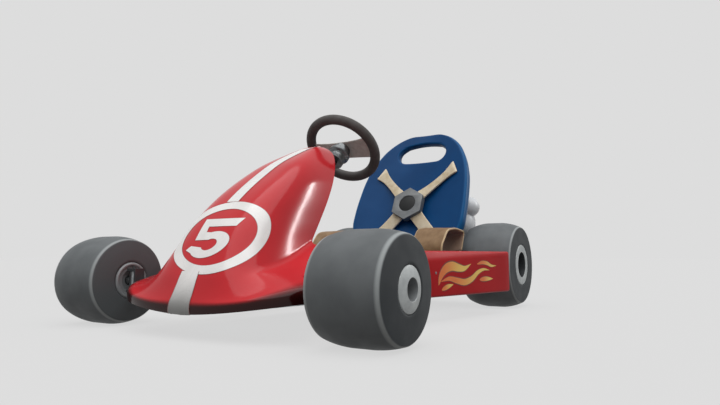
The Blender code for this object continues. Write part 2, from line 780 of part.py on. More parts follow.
# Seat
SEAT_PATH = (
    (0.700, 0.172),
    (0.745, 0.152),
    (0.850, 0.143),
    (0.925, 0.151),
    (0.972, 0.181),
    (1.000, 0.222),
    (1.0286, 0.280),
    (1.0897, 0.414),
    (1.1590, 0.566),
    (1.2330, 0.7285),
)
SEAT_ORIGIN = (1.0897, 0.414)
SEAT_WIDTH_BY_HEIGHT = (
    (0.170, 0.220),
    (0.220, 0.222),
    (0.250, 0.228),
    (0.280, 0.237),
    (0.310, 0.243),
    (0.440, 0.245),
    (0.526, 0.237),
    (0.576, 0.221),
    (0.622, 0.198),
    (0.662, 0.170),
    (0.692, 0.143),
    (0.710, 0.118),
    (0.722, 0.092),
    (0.729, 0.060),
)


def seat_front(x, up):
    """A point on the seat back's front face: up is measured along the slope from the buckle."""
    forward = SEAT_WRAP * (abs(x) / SEAT_HALF_WIDTH) ** 2
    y = SEAT_ORIGIN[0] + up * math.sin(SEAT_RECLINE) - forward * math.cos(SEAT_RECLINE)
    z = SEAT_ORIGIN[1] + up * math.cos(SEAT_RECLINE) + forward * math.sin(SEAT_RECLINE)
    return Vector((x, aft(y), z))


SEAT_NORMAL = Vector((0, -math.cos(SEAT_RECLINE), math.sin(SEAT_RECLINE)))
SEAT_TURN = (math.pi / 2 - SEAT_RECLINE, 0, 0)


def seat_shell():
    """A thick moulded bucket: low pan, reclined back that wraps forward, and a carrying hole."""
    path = smooth_path(SEAT_PATH, 24)
    tangent = np.gradient(path, axis=0)
    tangent /= np.linalg.norm(tangent, axis=1)[:, None]
    normal = np.stack([-tangent[:, 1], tangent[:, 0]], axis=1)
    over, under = [], []
    last = len(path) - 1
    for i, ((y, z), (ny, nz)) in enumerate(zip(path, normal)):
        back_share, half = 0.0, 0.220
        if y > 0.9:
            back_share = float(np.clip((z - 0.160) / 0.120, 0, 1))
            half = float(spline_values(*zip(*SEAT_WIDTH_BY_HEIGHT), z))
        wrap = 0.012 + (SEAT_WRAP - 0.012) * back_share
        wall = 0.018 * (1 - back_share)
        thin_top = 0.018 * float(np.clip((z - 0.52) / 0.10, 0, 1))
        thick = 0.012 + (SEAT_THICKNESS - 0.012) * back_share - thin_top
        round_off = min(0.010, 0.3 * thick)
        edge = 1 - round_off / half
        across = np.array([-1, -edge, -0.8, -0.6, -0.3, 0, 0.3, 0.6, 0.8, edge, 1])
        x = across * half
        lift = wrap * (np.abs(x) / SEAT_HALF_WIDTH) ** 2 + wall * np.abs(across) ** 4
        rounded = (np.arange(len(across)) % (len(across) - 1) == 0) | (i in (0, last))
        front = lift - np.where(rounded, round_off, 0)
        back = lift - np.where(rounded, thick - round_off, thick)
        over.append(np.stack([x, aft(y) + ny * front, z + nz * front], axis=1))
        under.append(np.stack([x, aft(y) + ny * back, z + nz * back], axis=1))
    shell = slab("seat_shell", over, under, SEAT_BLUE)
    hole = arc((0.071, 0.247), 0.040, -90, 60, 9)
    hole += arc((0, 0.046), 0.258, 72, 108, 5)
    hole += arc((-0.071, 0.247), 0.040, 120, 270, 9)
    cutter = as_mesh(plate("handle_hole", [hole], 0.260, SEAT_BLUE, seat_front(0, 0), SEAT_TURN))
    cut(shell, cutter)


BUCKLE_RADIUS = 0.074
BUCKLE_LOW = 0.018
BUCKLE_HIGH = 0.044
BUCKLE_UP = -0.020


def over_seat(x, up, lift):
    """A point standing off the seat back's front face, up and across from the buckle's middle."""
    return seat_front(x, up + BUCKLE_UP) + SEAT_NORMAL * lift


def hexagon(radius):
    """Six corners, one of them straight up."""
    return arc((0, 0), radius, 30, 330, 6)


def harness():
    """Four webbing arms from a six-sided buckle with a round release button."""
    outline = [hexagon(BUCKLE_RADIUS)]
    deep = BUCKLE_HIGH - BUCKLE_LOW
    place = over_seat(0, 0, BUCKLE_LOW + deep / 2)
    body = as_mesh(plate("buckle_body", outline, deep, BUCKLE_GREY, place, SEAT_TURN))
    floor, mouth = over_seat(0, 0, BUCKLE_HIGH - 0.014), over_seat(0, 0, BUCKLE_HIGH + 0.026)
    cut(body, rod("button_well", floor, mouth, 0.0365, BLACK, 28))
    back, front = over_seat(0, 0, BUCKLE_HIGH - 0.0085), over_seat(0, 0, BUCKLE_HIGH - 0.001)
    rod("buckle_button", back, front, 0.036, BLACK, 28)
    clear = [hexagon(BUCKLE_RADIUS + 0.0008)]
    ends = (
        ("harness_upper_left", 0.176, 0.176),
        ("harness_upper_right", -0.168, 0.168),
        ("harness_lower_left", 0.106, -0.118),
        ("harness_lower_right", -0.106, -0.118),
    )
    for name, end_x, end_up in ends:
        length = math.hypot(end_x, end_up)
        side_x, side_up = -end_up / length, end_x / length
        rings = []
        for t in np.linspace(0.15, 1.0, 8):
            x, up = end_x * t, end_up * t
            half = 0.020 + 0.008 * t**3
            low = 0.0015 + 0.030 * max(0.0, 1 - t) ** 1.5
            corners = ((-half, 0), (half, 0), (half, 0.005), (-half, 0.005))
            rings.append([over_seat(x + side_x * e, up + side_up * e, low + lift) for e, lift in corners])
        strap = solid_loft(name, rings, WEBBING)
        room = plate(f"{name}_room", clear, 0.080, WEBBING, over_seat(0, 0, 0.03), SEAT_TURN)
        cut(strap, as_mesh(room))


THIGH_INNER, THIGH_OUTER = 0.138, 0.262
THIGH_ARCH = (
    (0.773, 0.225),
    (0.800, 0.260),
    (0.824, 0.2835),
    (0.871, 0.2940),
    (0.936, 0.2920),
    (0.993, 0.2810),
)


def pan_height(x):
    """The top of the seat pan under a thigh band's front foot."""
    return 0.1490 + 0.012 * (x / SEAT_HALF_WIDTH) ** 2 + 0.018 * (x / 0.220) ** 4


def thigh_band_line(x):
    """The band's arch at this distance from the middle: the inner side stands a little further back."""
    inner = (THIGH_OUTER - x) / (THIGH_OUTER - THIGH_INNER)
    points = [(0.772 + 0.030 * inner, pan_height(x) + 0.0015)]
    points += [(d + 0.030 * inner, z + 0.004 * inner) for d, z in THIGH_ARCH]
    up = (points[-1][1] - SEAT_ORIGIN[1]) / math.cos(SEAT_RECLINE)
    up -= SEAT_WRAP * (x / SEAT_HALF_WIDTH) ** 2 * math.tan(SEAT_RECLINE)
    touch = seat_front(x, up) + SEAT_NORMAL * 0.0035
    points[-1] = (min(touch.y - aft(0), 0.999), points[-1][1])
    return smooth_path(points, 14)


def thigh_straps():
    """A broad leather band over each thigh, from the pan's edge back to the seat back."""
    for side, sign in SIDES:
        over, under = [], []
        for x in np.linspace(THIGH_INNER, THIGH_OUTER, 5):
            line = thigh_band_line(x)
            slope = np.gradient(line, axis=0)
            slope /= np.linalg.norm(slope, axis=1)[:, None]
            for rows, offset in ((over, 0.0035), (under, -0.0035)):
                y = aft(line[:, 0] - offset * slope[:, 1])
                z = line[:, 1] + offset * slope[:, 0]
                rows.append(np.stack([np.full(len(line), sign * x), y, z], axis=1))
        slab(f"thigh_strap_{side}", over, under, LEATHER)


# Drive
def loop_outline(big, big_radius, small, small_radius, count):
    """A belt's outline round two wheels, as arcs joined by the outer tangents."""
    dx, dz = small[0] - big[0], small[1] - big[1]
    apart = math.hypot(dx, dz)
    facing = math.degrees(math.atan2(dz, dx))
    lean = math.degrees(math.acos((big_radius - small_radius) / apart))
    around_big = arc(big, big_radius, facing + lean, facing + 360 - lean, count)
    return around_big + arc(small, small_radius, facing - lean, facing + lean, max(6, count // 3))


def side_plate(made, x):
    """Stands a plate drawn as (aft place, height) up across the kart's width."""
    made.matrix_world = Matrix(((0, 0, 1, x), (1, 0, 0, 0), (0, 1, 0, 0), (0, 0, 0, 1)))
    return made


def rear_axle():
    """The live axle in two bearings, with the chain's big sprocket and the brake disc."""
    z = REAR_RADIUS
    rod("rear_axle", (-0.400, REAR_AXLE_Y, z), (0.400, REAR_AXLE_Y, z), 0.0165, STEEL, 24)
    bore = 0.0165 + GAP
    y, rail_top = REAR_AXLE_Y, RAIL_Z + RAIL_RADIUS + GAP
    sideways = (0, math.pi / 2, 0)
    ring = [(0.036, 0.012), (0.036, -0.012), (bore, -0.012), (bore, 0.012)]
    for side, sign in SIDES:
        x = sign * RAIL_X
        housing = turned(f"axle_bearing_{side}", ring, FRAME_GREY, (x, y, z), sideways, 28)
        corners = (x - 0.012, y - 0.035, rail_top), (x + 0.012, y + 0.035, z - 0.022)
        union(housing, box(f"bearing_foot_{side}", *corners, FRAME_GREY))
        ends = (x - 0.020, y, z), (x + 0.020, y, z)
        cut(housing, rod(f"bearing_bore_{side}", *ends, bore, FRAME_GREY, 28))
    for name, x, radius, half in (
        ("axle_sprocket", CHAIN_X, AXLE_SPROCKET_RADIUS - 0.0008, 0.0030),
        ("brake_disc", -CHAIN_X, 0.075, 0.0025),
    ):
        edge = [(radius, half), (radius, -half), (0.030, -half), (0.030, -0.008)]
        hub = [(bore, -0.008), (bore, 0.008), (0.030, 0.008), (0.030, half)]
        turned(name, edge + hub, STEEL, (x, y, z), sideways, 24)


def brake_caliper():
    """A slotted block over the front edge of the brake disc, on a foot on the left rail."""
    x, front = -CHAIN_X, aft(1.080)
    low, high = (x - 0.012, front, 0.140), (x + 0.012, aft(1.121), 0.190)
    caliper = box("brake_caliper", low, high, FRAME_GREY, 0.003)
    low = (RAIL_X - 0.010, front, RAIL_Z + RAIL_RADIUS + GAP)
    high = (x + 0.012, aft(1.100), 0.145)
    union(caliper, box("caliper_foot", low, high, FRAME_GREY))
    low, high = (x - 0.0035, aft(1.087), 0.095), (x + 0.0035, aft(1.130), 0.200)
    cut(caliper, box("caliper_slot", low, high, FRAME_GREY))


def chain_drive():
    """The engine's clutch drum and sprocket, and the chain down to the axle."""
    big, small = (REAR_AXLE_Y, REAR_RADIUS), (aft(CRANK_AFT), CRANK_Z)
    outer = loop_outline(big, AXLE_SPROCKET_RADIUS + 0.008, small, ENGINE_SPROCKET_RADIUS + 0.008, 30)
    inner = loop_outline(big, AXLE_SPROCKET_RADIUS, small, ENGINE_SPROCKET_RADIUS, 30)
    side_plate(plate("drive_chain", [outer, inner], 0.010, CHAIN_STEEL, (0, 0, 0)), CHAIN_X)
    wheel = ENGINE_SPROCKET_RADIUS - 0.0008
    drum = [
        (0.0, 0.114),
        (0.010, 0.114),
        (0.010, 0.090),
        (0.046, 0.086),
        (0.046, 0.056),
        (0.014, 0.052),
        (0.014, 0.003),
        (wheel, 0.003),
        (wheel, -0.003),
        (0.010, -0.003),
        (0.010, -0.008),
        (0.0, -0.008),
    ]
    place = (CHAIN_X, aft(CRANK_AFT), CRANK_Z)
    turned("clutch_drum", drum, STEEL, place, (0, math.pi / 2, 0), 20, ring=False)


def engine():
    """A small upright single behind the seat, on a plate that stands over the axle."""
    low, high = (-0.192, aft(1.150), 0.200), (0.192, aft(1.300), 0.206)
    stand = box("engine_plate", low, high, FRAME_GREY)
    for side, sign in SIDES:
        near, far = sorted((sign * 0.180, sign * 0.190))
        corners = (near, aft(1.205), RAIL_Z + RAIL_RADIUS + GAP), (far, aft(1.255), 0.203)
        union(stand, box(f"engine_leg_{side}", *corners, FRAME_GREY))
    low, high = (-0.098, aft(1.175), 0.206 + GAP), (0.060, aft(1.300), 0.338)
    block = box("engine_block", low, high, ENGINE_ALLOY, 0.008)
    low, high = (-0.060, aft(1.200), 0.330), (0.022, aft(1.276), 0.432)
    union(block, box("engine_barrel", low, high, ENGINE_ALLOY))
    for level in range(6):
        z = 0.350 + 0.0135 * level
        low, high = (-0.078, aft(1.183), z), (0.040, aft(1.293), z + 0.0045)
        union(block, box(f"cooling_fin_{level}", low, high, ENGINE_ALLOY))
    y, z = aft(CRANK_AFT), 0.300
    union(block, rod("intake_stub", (0.010, y, z), (0.078, y, z), 0.020, ENGINE_ALLOY, 20))
    silencer = bulb("intake_silencer", (0.1495, y, 0.338), (0.0660, 0.066, 0.070))
    union(silencer, bulb("silencer_cap", (0.1880, y, 0.403), (0.0485, 0.046, 0.044)))
    cut(silencer, rod("silencer_inlet", (0.040, y, z), (0.100, y, z), 0.0203, WHITE_SHELL, 20))
    end = [(0.0, 0.118), (0.014, 0.118), (0.030, 0.108), (0.040, 0.088)]
    can = end + [(radius, -height) for radius, height in end[::-1]]
    place = (-0.030, aft(1.284), 0.475)
    muffler = turned("muffler", can, STEEL, place, (0, math.pi / 2, 0), 24, ring=False)
    ends = (-0.019, aft(1.262), 0.4385), (-0.019, aft(1.276), 0.465)
    union(muffler, rod("exhaust_stub", *ends, 0.012, STEEL, 12))


def bulb(name, centre, radii):
    """A rounded swelling of a moulded shell."""

    def make(shape):
        scale = Matrix.Diagonal((*radii, 1))
        bmesh.ops.create_uvsphere(shape, u_segments=16, v_segments=10, radius=1, matrix=scale)

    return smooth(add(name, mesh_of(name, make), WHITE_SHELL, centre), 60)


def spark_plug():
    """A plug and cap on the engine's head."""
    cap = [(0.0, 0.044), (0.0080, 0.044), (0.0080, 0.022), (0.0045, 0.020)]
    profile = cap + [(0.0045, 0.008), (0.0095, 0.008), (0.0095, GAP), (0.0, GAP)]
    turned("spark_plug", profile, BLACK, (-0.019, aft(1.222), 0.432), (0, 0, 0), 16, ring=False)


def fuel_tank():
    """A moulded tank standing on the tray between the driver's feet and the column frame."""
    low = RAIL_Z - RAIL_RADIUS
    box("fuel_tank", (-0.085, aft(0.400), low + GAP), (0.085, aft(0.540), 0.165), TANK_PLASTIC, 0.018)


def rear_bumper():
    """A bar across the back, carried on the ends of the rails."""
    z = RAIL_Z + RAIL_RADIUS + 0.009 + GAP
    side = [
        (0.150, 1.312, 0.160),
        (0.176, 1.303, 0.152),
        (0.185, 1.290, 0.135),
        (0.185, 1.272, z),
        (0.185, 1.266, z),
    ]
    half = smooth_path(side, 9)
    whole = [(-x, y, z) for x, y, z in half[::-1]] + [(x, y, z) for x, y, z in half]
    tube("rear_bumper", [(x, aft(y), z) for x, y, z in whole], 0.009, FRAME_GREY, 1)


def seat_stays():
    """A strut from each rail to the back of the seat."""
    for side, sign in SIDES:
        start = (sign * RAIL_X, aft(1.040), RAIL_Z + RAIL_RADIUS + 0.0068)
        touch = seat_front(sign * 0.150, -0.120) - SEAT_NORMAL * (SEAT_THICKNESS + 0.0072)
        rod(f"seat_stay_{side}", start, touch, 0.006, STEEL, 14)


def control_cables():
    """The throttle's and the brake's cables, each held along its rail from the pedals back."""
    throttle = [
        (-0.130, 0.072, 0.1085),
        (-0.146, 0.105, 0.1090),
        (-0.152, 0.150, 0.0985),
        (-0.155, 0.235, 0.0985),
        (-0.155, 0.285, 0.1065),
        (-0.155, 0.520, 0.1090),
        (-0.155, 0.860, 0.1090),
        (-0.155, 1.040, 0.1110),
        (-0.148, 1.098, 0.1350),
        (-0.110, 1.128, 0.1850),
        (-0.040, 1.142, 0.2400),
        (0.035, 1.150, 0.2830),
        (0.067, 1.166, 0.2970),
        (0.0715, 1.192, 0.2995),
        (0.0715, 1.2150, 0.3000),
    ]
    brake = [
        (0.130, 0.072, 0.1085),
        (0.146, 0.105, 0.1090),
        (0.152, 0.150, 0.0985),
        (0.155, 0.235, 0.0985),
        (0.155, 0.285, 0.1065),
        (0.155, 0.520, 0.1090),
        (0.155, 0.860, 0.1090),
        (0.157, 0.980, 0.1110),
        (0.172, 1.025, 0.1270),
        (0.205, 1.052, 0.1560),
        (0.2150, 1.066, 0.1640),
        (0.2155, 1.0772, 0.1650),
    ]
    for name, points in (("throttle_cable", throttle), ("brake_cable", brake)):
        path = smooth_path(points, 26)
        tube(name, [(x, aft(d), z) for x, d, z in path], 0.003, BLACK, 1)


def chain_guard():
    """A curved strip over the chain's front run and small sprocket, on a tab of the engine plate."""
    big, small = (REAR_AXLE_Y, REAR_RADIUS), (aft(CRANK_AFT), CRANK_Z)
    facing = math.degrees(math.atan2(small[1] - big[1], small[0] - big[0]))
    narrowing = (AXLE_SPROCKET_RADIUS - ENGINE_SPROCKET_RADIUS) / math.dist(big, small)
    lean = math.degrees(math.acos(narrowing))
    lines = []
    for off in (0.0140, 0.0165):
        line = arc(small, ENGINE_SPROCKET_RADIUS + off, facing - lean, facing + lean, 10)
        line += arc(big, AXLE_SPROCKET_RADIUS + off, facing + lean, facing + lean + 40, 6)
        lines.append(line)
    strip = plate("chain_guard", [lines[0] + lines[1][::-1]], 0.0255, FRAME_GREY, (0, 0, 0))
    guard = as_mesh(side_plate(strip, -0.21275))
    low, high = (-0.2040, aft(1.0740), 0.2063), (-0.1800, aft(1.1850), 0.2103)
    union(guard, box("guard_tab", low, high, FRAME_GREY))


front_wheels()
rear_wheels()
chassis()
front_bumper()
front_axle()
knuckles()
steering_wheel()
steering_column()
tie_rods()
pedals()
nose_cowl()
side_pods()
seat_shell()
harness()
thigh_straps()
rear_axle()
brake_caliper()
chain_drive()
chain_guard()
engine()
spark_plug()
fuel_tank()
rear_bumper()
seat_stays()
control_cables()
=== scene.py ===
"""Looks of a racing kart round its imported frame: gel coat, rubber, leather and metal.

Metres, +Z up. The kart faces -Y and its left side is +X. Places along the kart are given
aft of the front axle, as in the part's own source.
"""

import math

import bmesh
import bpy
import numpy as np
from mathutils import Matrix, Quaternion, Vector


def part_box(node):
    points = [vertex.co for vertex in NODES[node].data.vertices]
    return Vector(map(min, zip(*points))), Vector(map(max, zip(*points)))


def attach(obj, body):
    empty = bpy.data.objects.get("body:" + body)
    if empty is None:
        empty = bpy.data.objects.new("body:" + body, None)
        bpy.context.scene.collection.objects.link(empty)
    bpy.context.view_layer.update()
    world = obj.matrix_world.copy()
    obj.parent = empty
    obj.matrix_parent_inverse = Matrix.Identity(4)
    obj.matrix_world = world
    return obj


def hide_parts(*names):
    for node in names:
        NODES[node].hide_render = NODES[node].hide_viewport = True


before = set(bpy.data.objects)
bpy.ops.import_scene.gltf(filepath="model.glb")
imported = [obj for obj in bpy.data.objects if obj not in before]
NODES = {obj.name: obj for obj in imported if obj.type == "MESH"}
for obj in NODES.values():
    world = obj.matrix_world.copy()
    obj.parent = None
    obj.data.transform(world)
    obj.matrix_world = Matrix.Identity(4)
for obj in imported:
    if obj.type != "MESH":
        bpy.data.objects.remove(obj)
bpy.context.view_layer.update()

# Welded chassis. Round steel tube, shot-blasted and powder-coated dark grey: rails,
# crossmembers, axle beam, bumpers, side bars, column stand and bearing housings.
# The coat has a faint orange-peel ripple and dulls where boots and mud rub it.
LEFT, RIGHT = 1, -1
SIDES = (("left", LEFT), ("right", RIGHT))
WELD_REACH, DRESSED_CREASE = 0.00002, math.radians(38)


def linear(code):
    """An sRGB hex colour as linear light: each channel put through the sRGB curve backwards."""
    channels = np.array([int(code[i : i + 2], 16) for i in (0, 2, 4)]) / 255
    curved = ((channels + 0.055) / 1.055) ** 2.4
    return (*np.where(channels < 0.04045, channels / 12.92, curved).tolist(), 1.0)


def add_node(tree, kind, inputs=(), **settings):
    """Adds one shader node: settings are its properties, and an input that is a socket is linked."""
    node = tree.nodes.new("ShaderNode" + kind)
    for name, value in settings.items():
        setattr(node, name, value)
    for key, value in dict(inputs).items():
        if isinstance(value, bpy.types.NodeSocket):
            tree.links.new(value, node.inputs[key])
        else:
            node.inputs[key].default_value = value
    return node


def finish(name, colour, shade, patch, grain, depth, rough, **sockets):
    """A surface whose colour drifts to a shade in patches, under a fine grain that lifts it.

    patch and grain are the patterns' sizes and depth the grain's height, in metres; rough is
    the roughness of the cleanest and of the most worn patches. Other sockets are constants.
    """
    made = bpy.data.materials.new(name)
    made.use_nodes = True
    tree = made.node_tree
    shader = tree.nodes["Principled BSDF"]
    where = add_node(tree, "TexCoord").outputs["Object"]
    cloud = add_node(tree, "TexNoise", {"Vector": where, "Scale": 1 / patch, "Detail": 4.0})
    drift = add_node(
        tree, "MapRange", {"Value": cloud.outputs["Fac"], "From Min": 0.35, "From Max": 0.68}
    ).outputs["Result"]
    paint = add_node(
        tree, "Mix", {0: drift, 6: linear(colour), 7: linear(shade)}, data_type="RGBA"
    )
    polish = add_node(
        tree, "MapRange", {"Value": drift, "To Min": rough[0], "To Max": rough[1]}
    )
    fine = add_node(tree, "TexNoise", {"Vector": where, "Scale": 1 / grain, "Detail": 2.0})
    relief = add_node(tree, "Bump", {"Height": fine.outputs["Fac"], "Distance": depth})
    tree.links.new(paint.outputs[2], shader.inputs["Base Color"])
    tree.links.new(polish.outputs["Result"], shader.inputs["Roughness"])
    tree.links.new(relief.outputs["Normal"], shader.inputs["Normal"])
    for socket, value in sockets.items():
        shader.inputs[socket.replace("_", " ")].default_value = value
    return made


def tinted(made, mask, colour, low=0.0, high=1.0):
    """Lays another colour over a finish where a vertex attribute rises from low to high."""
    tree = made.node_tree
    base = tree.nodes["Principled BSDF"].inputs["Base Color"]
    under = base.links[0].from_socket
    level = add_node(tree, "Attribute", attribute_name=mask).outputs["Fac"]
    share = add_node(
        tree, "MapRange", {"Value": level, "From Min": low, "From Max": high},
        interpolation_type="SMOOTHSTEP",
    ).outputs["Result"]
    over = add_node(tree, "Mix", {0: share, 6: under, 7: linear(colour)}, data_type="RGBA")
    tree.links.new(over.outputs[2], base)


def dress(names, material, bevel=0.0):
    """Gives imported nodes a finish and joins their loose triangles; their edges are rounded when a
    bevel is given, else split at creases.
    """
    for name in names.split():
        node = NODES[name]
        node.material_slots[0].material = material
        node.data.polygons.foreach_set("use_smooth", np.ones(len(node.data.polygons), bool))
        node.modifiers.new("joined", "WELD").merge_threshold = WELD_REACH
        if bevel:
            edges = node.modifiers.new("edges", "BEVEL")
            edges.width = bevel
            edges.segments = 2
            edges.limit_method = "ANGLE"
            edges.angle_limit = DRESSED_CREASE
            edges.harden_normals = True
        else:
            node.modifiers.new("edges", "EDGE_SPLIT").split_angle = DRESSED_CREASE


powder_coat = finish("grey_powder_coat", "45484A", "35383A", 0.06, 0.0016, 0.00004, (0.38, 0.55))
dress(
    "chassis_frame front_axle_beam rear_bumper front_bumper side_bar_left side_bar_right"
    " steering_support column_bearing_upper column_bearing_lower chain_guard", powder_coat,
)
dress("axle_bearing_left axle_bearing_right brake_caliper engine_plate", powder_coat, 0.0008)

# Floor tray. Sheet aluminium laid under the rails for the driver's heels, cut and left
# as rolled: bright, with a fine grain and duller patches where shoes scuff it.
rolled_sheet = finish(
    "rolled_aluminium", "B4B7B8", "94989A", 0.05, 0.0012, 0.00003, (0.34, 0.52), Metallic=0.85
)
dress("floor_tray", rolled_sheet, 0.0006)

# Stub axles, tie rods, pedals, live axle, sprocket, disc and seat stays. Turned and
# ground steel, bright where it is machined, with a light film of oil that breaks it up.
ground_steel = finish(
    "ground_steel", "9DA0A1", "74787A", 0.018, 0.0008, 0.00002, (0.28, 0.48), Metallic=0.9
)
dress(
    "knuckle_left knuckle_right tie_rod_left tie_rod_right throttle_pedal brake_pedal"
    " pedal_pivot_rod rear_axle axle_sprocket brake_disc clutch_drum", ground_steel, 0.0005,
)
dress("seat_stay_left seat_stay_right", ground_steel)

# Tyres. Moulded black rubber slicks, greyed by track dust, with rounded shoulders and flat,
# darker sidewalls. A bright line painted round each shoulder is a painted highlight, and the
# inboard sidewalls are painted lighter to lift the shade that falls on them.
SAME_POINT = 0.000002


def grid_faces(rows, columns, wrap_rows=False, wrap_columns=False):
    """Four-sided faces over points numbered row by row; a wrapped way joins its last to its first."""
    index = np.arange(rows * columns).reshape(rows, columns)
    if wrap_rows:
        index = np.vstack([index, index[:1]])
    if wrap_columns:
        index = np.hstack([index, index[:, :1]])
    corners = [index[:-1, :-1], index[:-1, 1:], index[1:, 1:], index[1:, :-1]]
    return np.stack(corners, axis=-1).reshape(-1, 4)


def stand(name, data):
    """Makes an object of its data and links it to the scene."""
    made = bpy.data.objects.new(name, data)
    bpy.context.scene.collection.objects.link(made)
    return made


def piece(name, points, faces, material, inside=None, **masks):
    """A mesh from whole arrays: doubles merged, faces turned outwards, shaded smooth.

    A mask is one number a point, kept as an attribute. An open sheet is turned so that it
    faces away from the point `inside`.
    """
    points = np.asarray(points, float).reshape(-1, 3)
    mesh = bpy.data.meshes.new(name)
    mesh.from_pydata(points.tolist(), [], [list(map(int, face)) for face in faces])
    for mask, values in masks.items():
        layer = mesh.attributes.new(mask, "FLOAT", "POINT")
        layer.data.foreach_set("value", np.asarray(values, np.float32).reshape(-1))
    shape = bmesh.new()
    shape.from_mesh(mesh)
    bmesh.ops.remove_doubles(shape, verts=shape.verts, dist=SAME_POINT)
    bmesh.ops.recalc_face_normals(shape, faces=shape.faces)
    if inside is not None:
        outward = (
            face.normal.dot(face.calc_center_median() - Vector(inside)) * face.calc_area()
            for face in shape.faces
        )
        if sum(outward) < 0:
            bmesh.ops.reverse_faces(shape, faces=shape.faces)
    shape.to_mesh(mesh)
    shape.free()
    mesh.shade_smooth()
    mesh.materials.append(material)
    return stand(name, mesh)


def place(made, body, slot, *replaced):
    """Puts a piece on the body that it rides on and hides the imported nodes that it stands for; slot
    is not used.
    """
    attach(made, body)
    if replaced:
        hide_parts(*replaced)


def rounded(profile, reach, steps=5, closed=False):
    """A profile whose corners are quadratic curves, begun and ended `reach` away from each corner."""
    profile = np.asarray(profile, float)
    reach = np.broadcast_to(np.asarray(reach, float), len(profile))[:, None, None]
    before = np.roll(profile, 1, axis=0) - profile
    after = np.roll(profile, -1, axis=0) - profile
    near = np.linalg.norm(before, axis=1)[:, None, None]
    far = np.linalg.norm(after, axis=1)[:, None, None]
    start = profile[:, None] + before[:, None] * np.minimum(reach / np.maximum(near, 1e-9), 0.45)
    end = profile[:, None] + after[:, None] * np.minimum(reach / np.maximum(far, 1e-9), 0.45)
    t = np.linspace(0, 1, steps)[None, :, None]
    curves = (1 - t) ** 2 * start + 2 * t * (1 - t) * profile[:, None] + t**2 * end
    if closed:
        return curves.reshape(-1, 2)
    return np.concatenate([profile[:1], curves[1:-1].reshape(-1, 2), profile[-1:]])


def lathe(name, profile, centre, axis, material, steps, closed=True, **masks):
    """A profile of (radius, height) carried round an axis through a centre.

    There is one row for each profile point, and each mask is one number for each of them.
    """
    axis = np.asarray(axis, float) / np.linalg.norm(axis)
    across = np.cross(axis, (0, 0, 1) if abs(axis[2]) < 0.9 else (1, 0, 0))
    across /= np.linalg.norm(across)
    angle = np.linspace(0, 2 * math.pi, steps, endpoint=False)[None, :, None]
    radius, height = np.asarray(profile).T[:, :, None, None]
    spoke = np.cos(angle) * across + np.sin(angle) * np.cross(axis, across)
    rings = np.asarray(centre) + height * axis + radius * spoke
    faces = grid_faces(*rings.shape[:2], wrap_rows=closed, wrap_columns=True)
    spread = {mask: np.repeat(np.asarray(values, float), steps) for mask, values in masks.items()}
    return piece(name, rings, faces, material, **spread)


FRONT_RADIUS, FRONT_BORE, FRONT_X = 0.127, 0.052, 0.448
REAR_RADIUS, REAR_BORE, REAR_X = 0.1635, 0.078, 0.3315
FRONT_AXLE_Y, REAR_AXLE_Y = (
    (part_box(f"{end}_tyre_left")[0].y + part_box(f"{end}_tyre_left")[1].y) / 2
    for end in ("front", "rear")
)
# Each tyre's end, its place and its bore, then the radii of its tread and its walls, its half
# widths at the shoulders and at the beads, outer first, and its skin's thickness.
TYRES = (
    ("front", FRONT_X, FRONT_AXLE_Y, FRONT_BORE, FRONT_RADIUS, 0.1155, (0.0935, 0.0890),
     (0.0990, 0.0990), 0.012),
    ("rear", REAR_X, REAR_AXLE_Y, REAR_BORE, REAR_RADIUS, 0.1440, (0.1000, 0.0970),
     (0.1005, 0.1000), 0.014),
)
TREAD_POINTS, TREAD_REACH, TREAD_CROWN, TREAD_POWER = 31, 0.97, 1.046, 2.6


def tyre_profile(bore, radius, wall, halves, beads, skin):
    """Bore to bore over the tread, then back through the hollow, and its masks by name.

    The tread's height falls away as the 2.6th power of its place across, as a slick's does.
    """
    outer, inner = halves
    # The tread, then each side's bead seat, heel, belly and upper wall.
    across = np.sin(np.linspace(1, -1, TREAD_POINTS) * math.pi / 2) * TREAD_REACH
    crown = np.minimum(1, TREAD_CROWN * (1 - np.abs(across) ** TREAD_POWER))
    tread = np.stack([wall + (radius - wall) * crown, across * np.where(across > 0, outer, inner)], 1)
    sides = []
    for half, bead in zip(halves, beads):
        belly = ((bore + wall) / 2, half + 0.7 * (bead - half))
        sides.append([(bore, bead), (bore + 0.006, bead + 0.001), belly, (wall - 0.002, half + 0.0004)])
    near, far = np.array(sides[0]), np.array(sides[1][::-1]) * (1, -1)
    corners = (0.001, 0.002, 0.006, 0.0025)
    reach = np.concatenate([corners, np.full(TREAD_POINTS, 0.002), corners[::-1]])
    skinned = rounded(np.concatenate([near, tread, far]), reach, 4)
    deep = radius - 1.4 * skin
    hollow = [
        (bore, skin - inner), (wall - skin, skin - inner), (deep, -0.5 * inner),
        (deep, 0.5 * outer), (wall - skin, outer - skin), (bore, outer - skin),
    ]
    profile = np.concatenate([skinned, hollow])
    past = np.maximum(profile[:, 1] - outer, -profile[:, 1] - inner)
    lift = np.clip((profile[:, 0] - wall + 0.0035) / 0.003, 0, 1)
    sidewall = np.where(past > -0.003, 1 - lift, 0)
    # A painted highlight: a thin bright line round each shoulder.
    shoulder_highlight = np.exp(-(((profile[:, 0] - wall - 0.0012) / 0.0022) ** 2)) * (past > -0.012)
    # Painted light: the inboard sidewall is marked to be lightened against its shade.
    inboard_light = sidewall * (profile[:, 1] < 0)
    return profile, {"sidewall": sidewall, "shoulder_highlight": shoulder_highlight, "inboard_light": inboard_light}


def wheel_body(end, side):
    """The body that a wheel turns with: the rear pair shares its axle's."""
    return f"front_wheel_{side}" if end == "front" else "rear_axle"


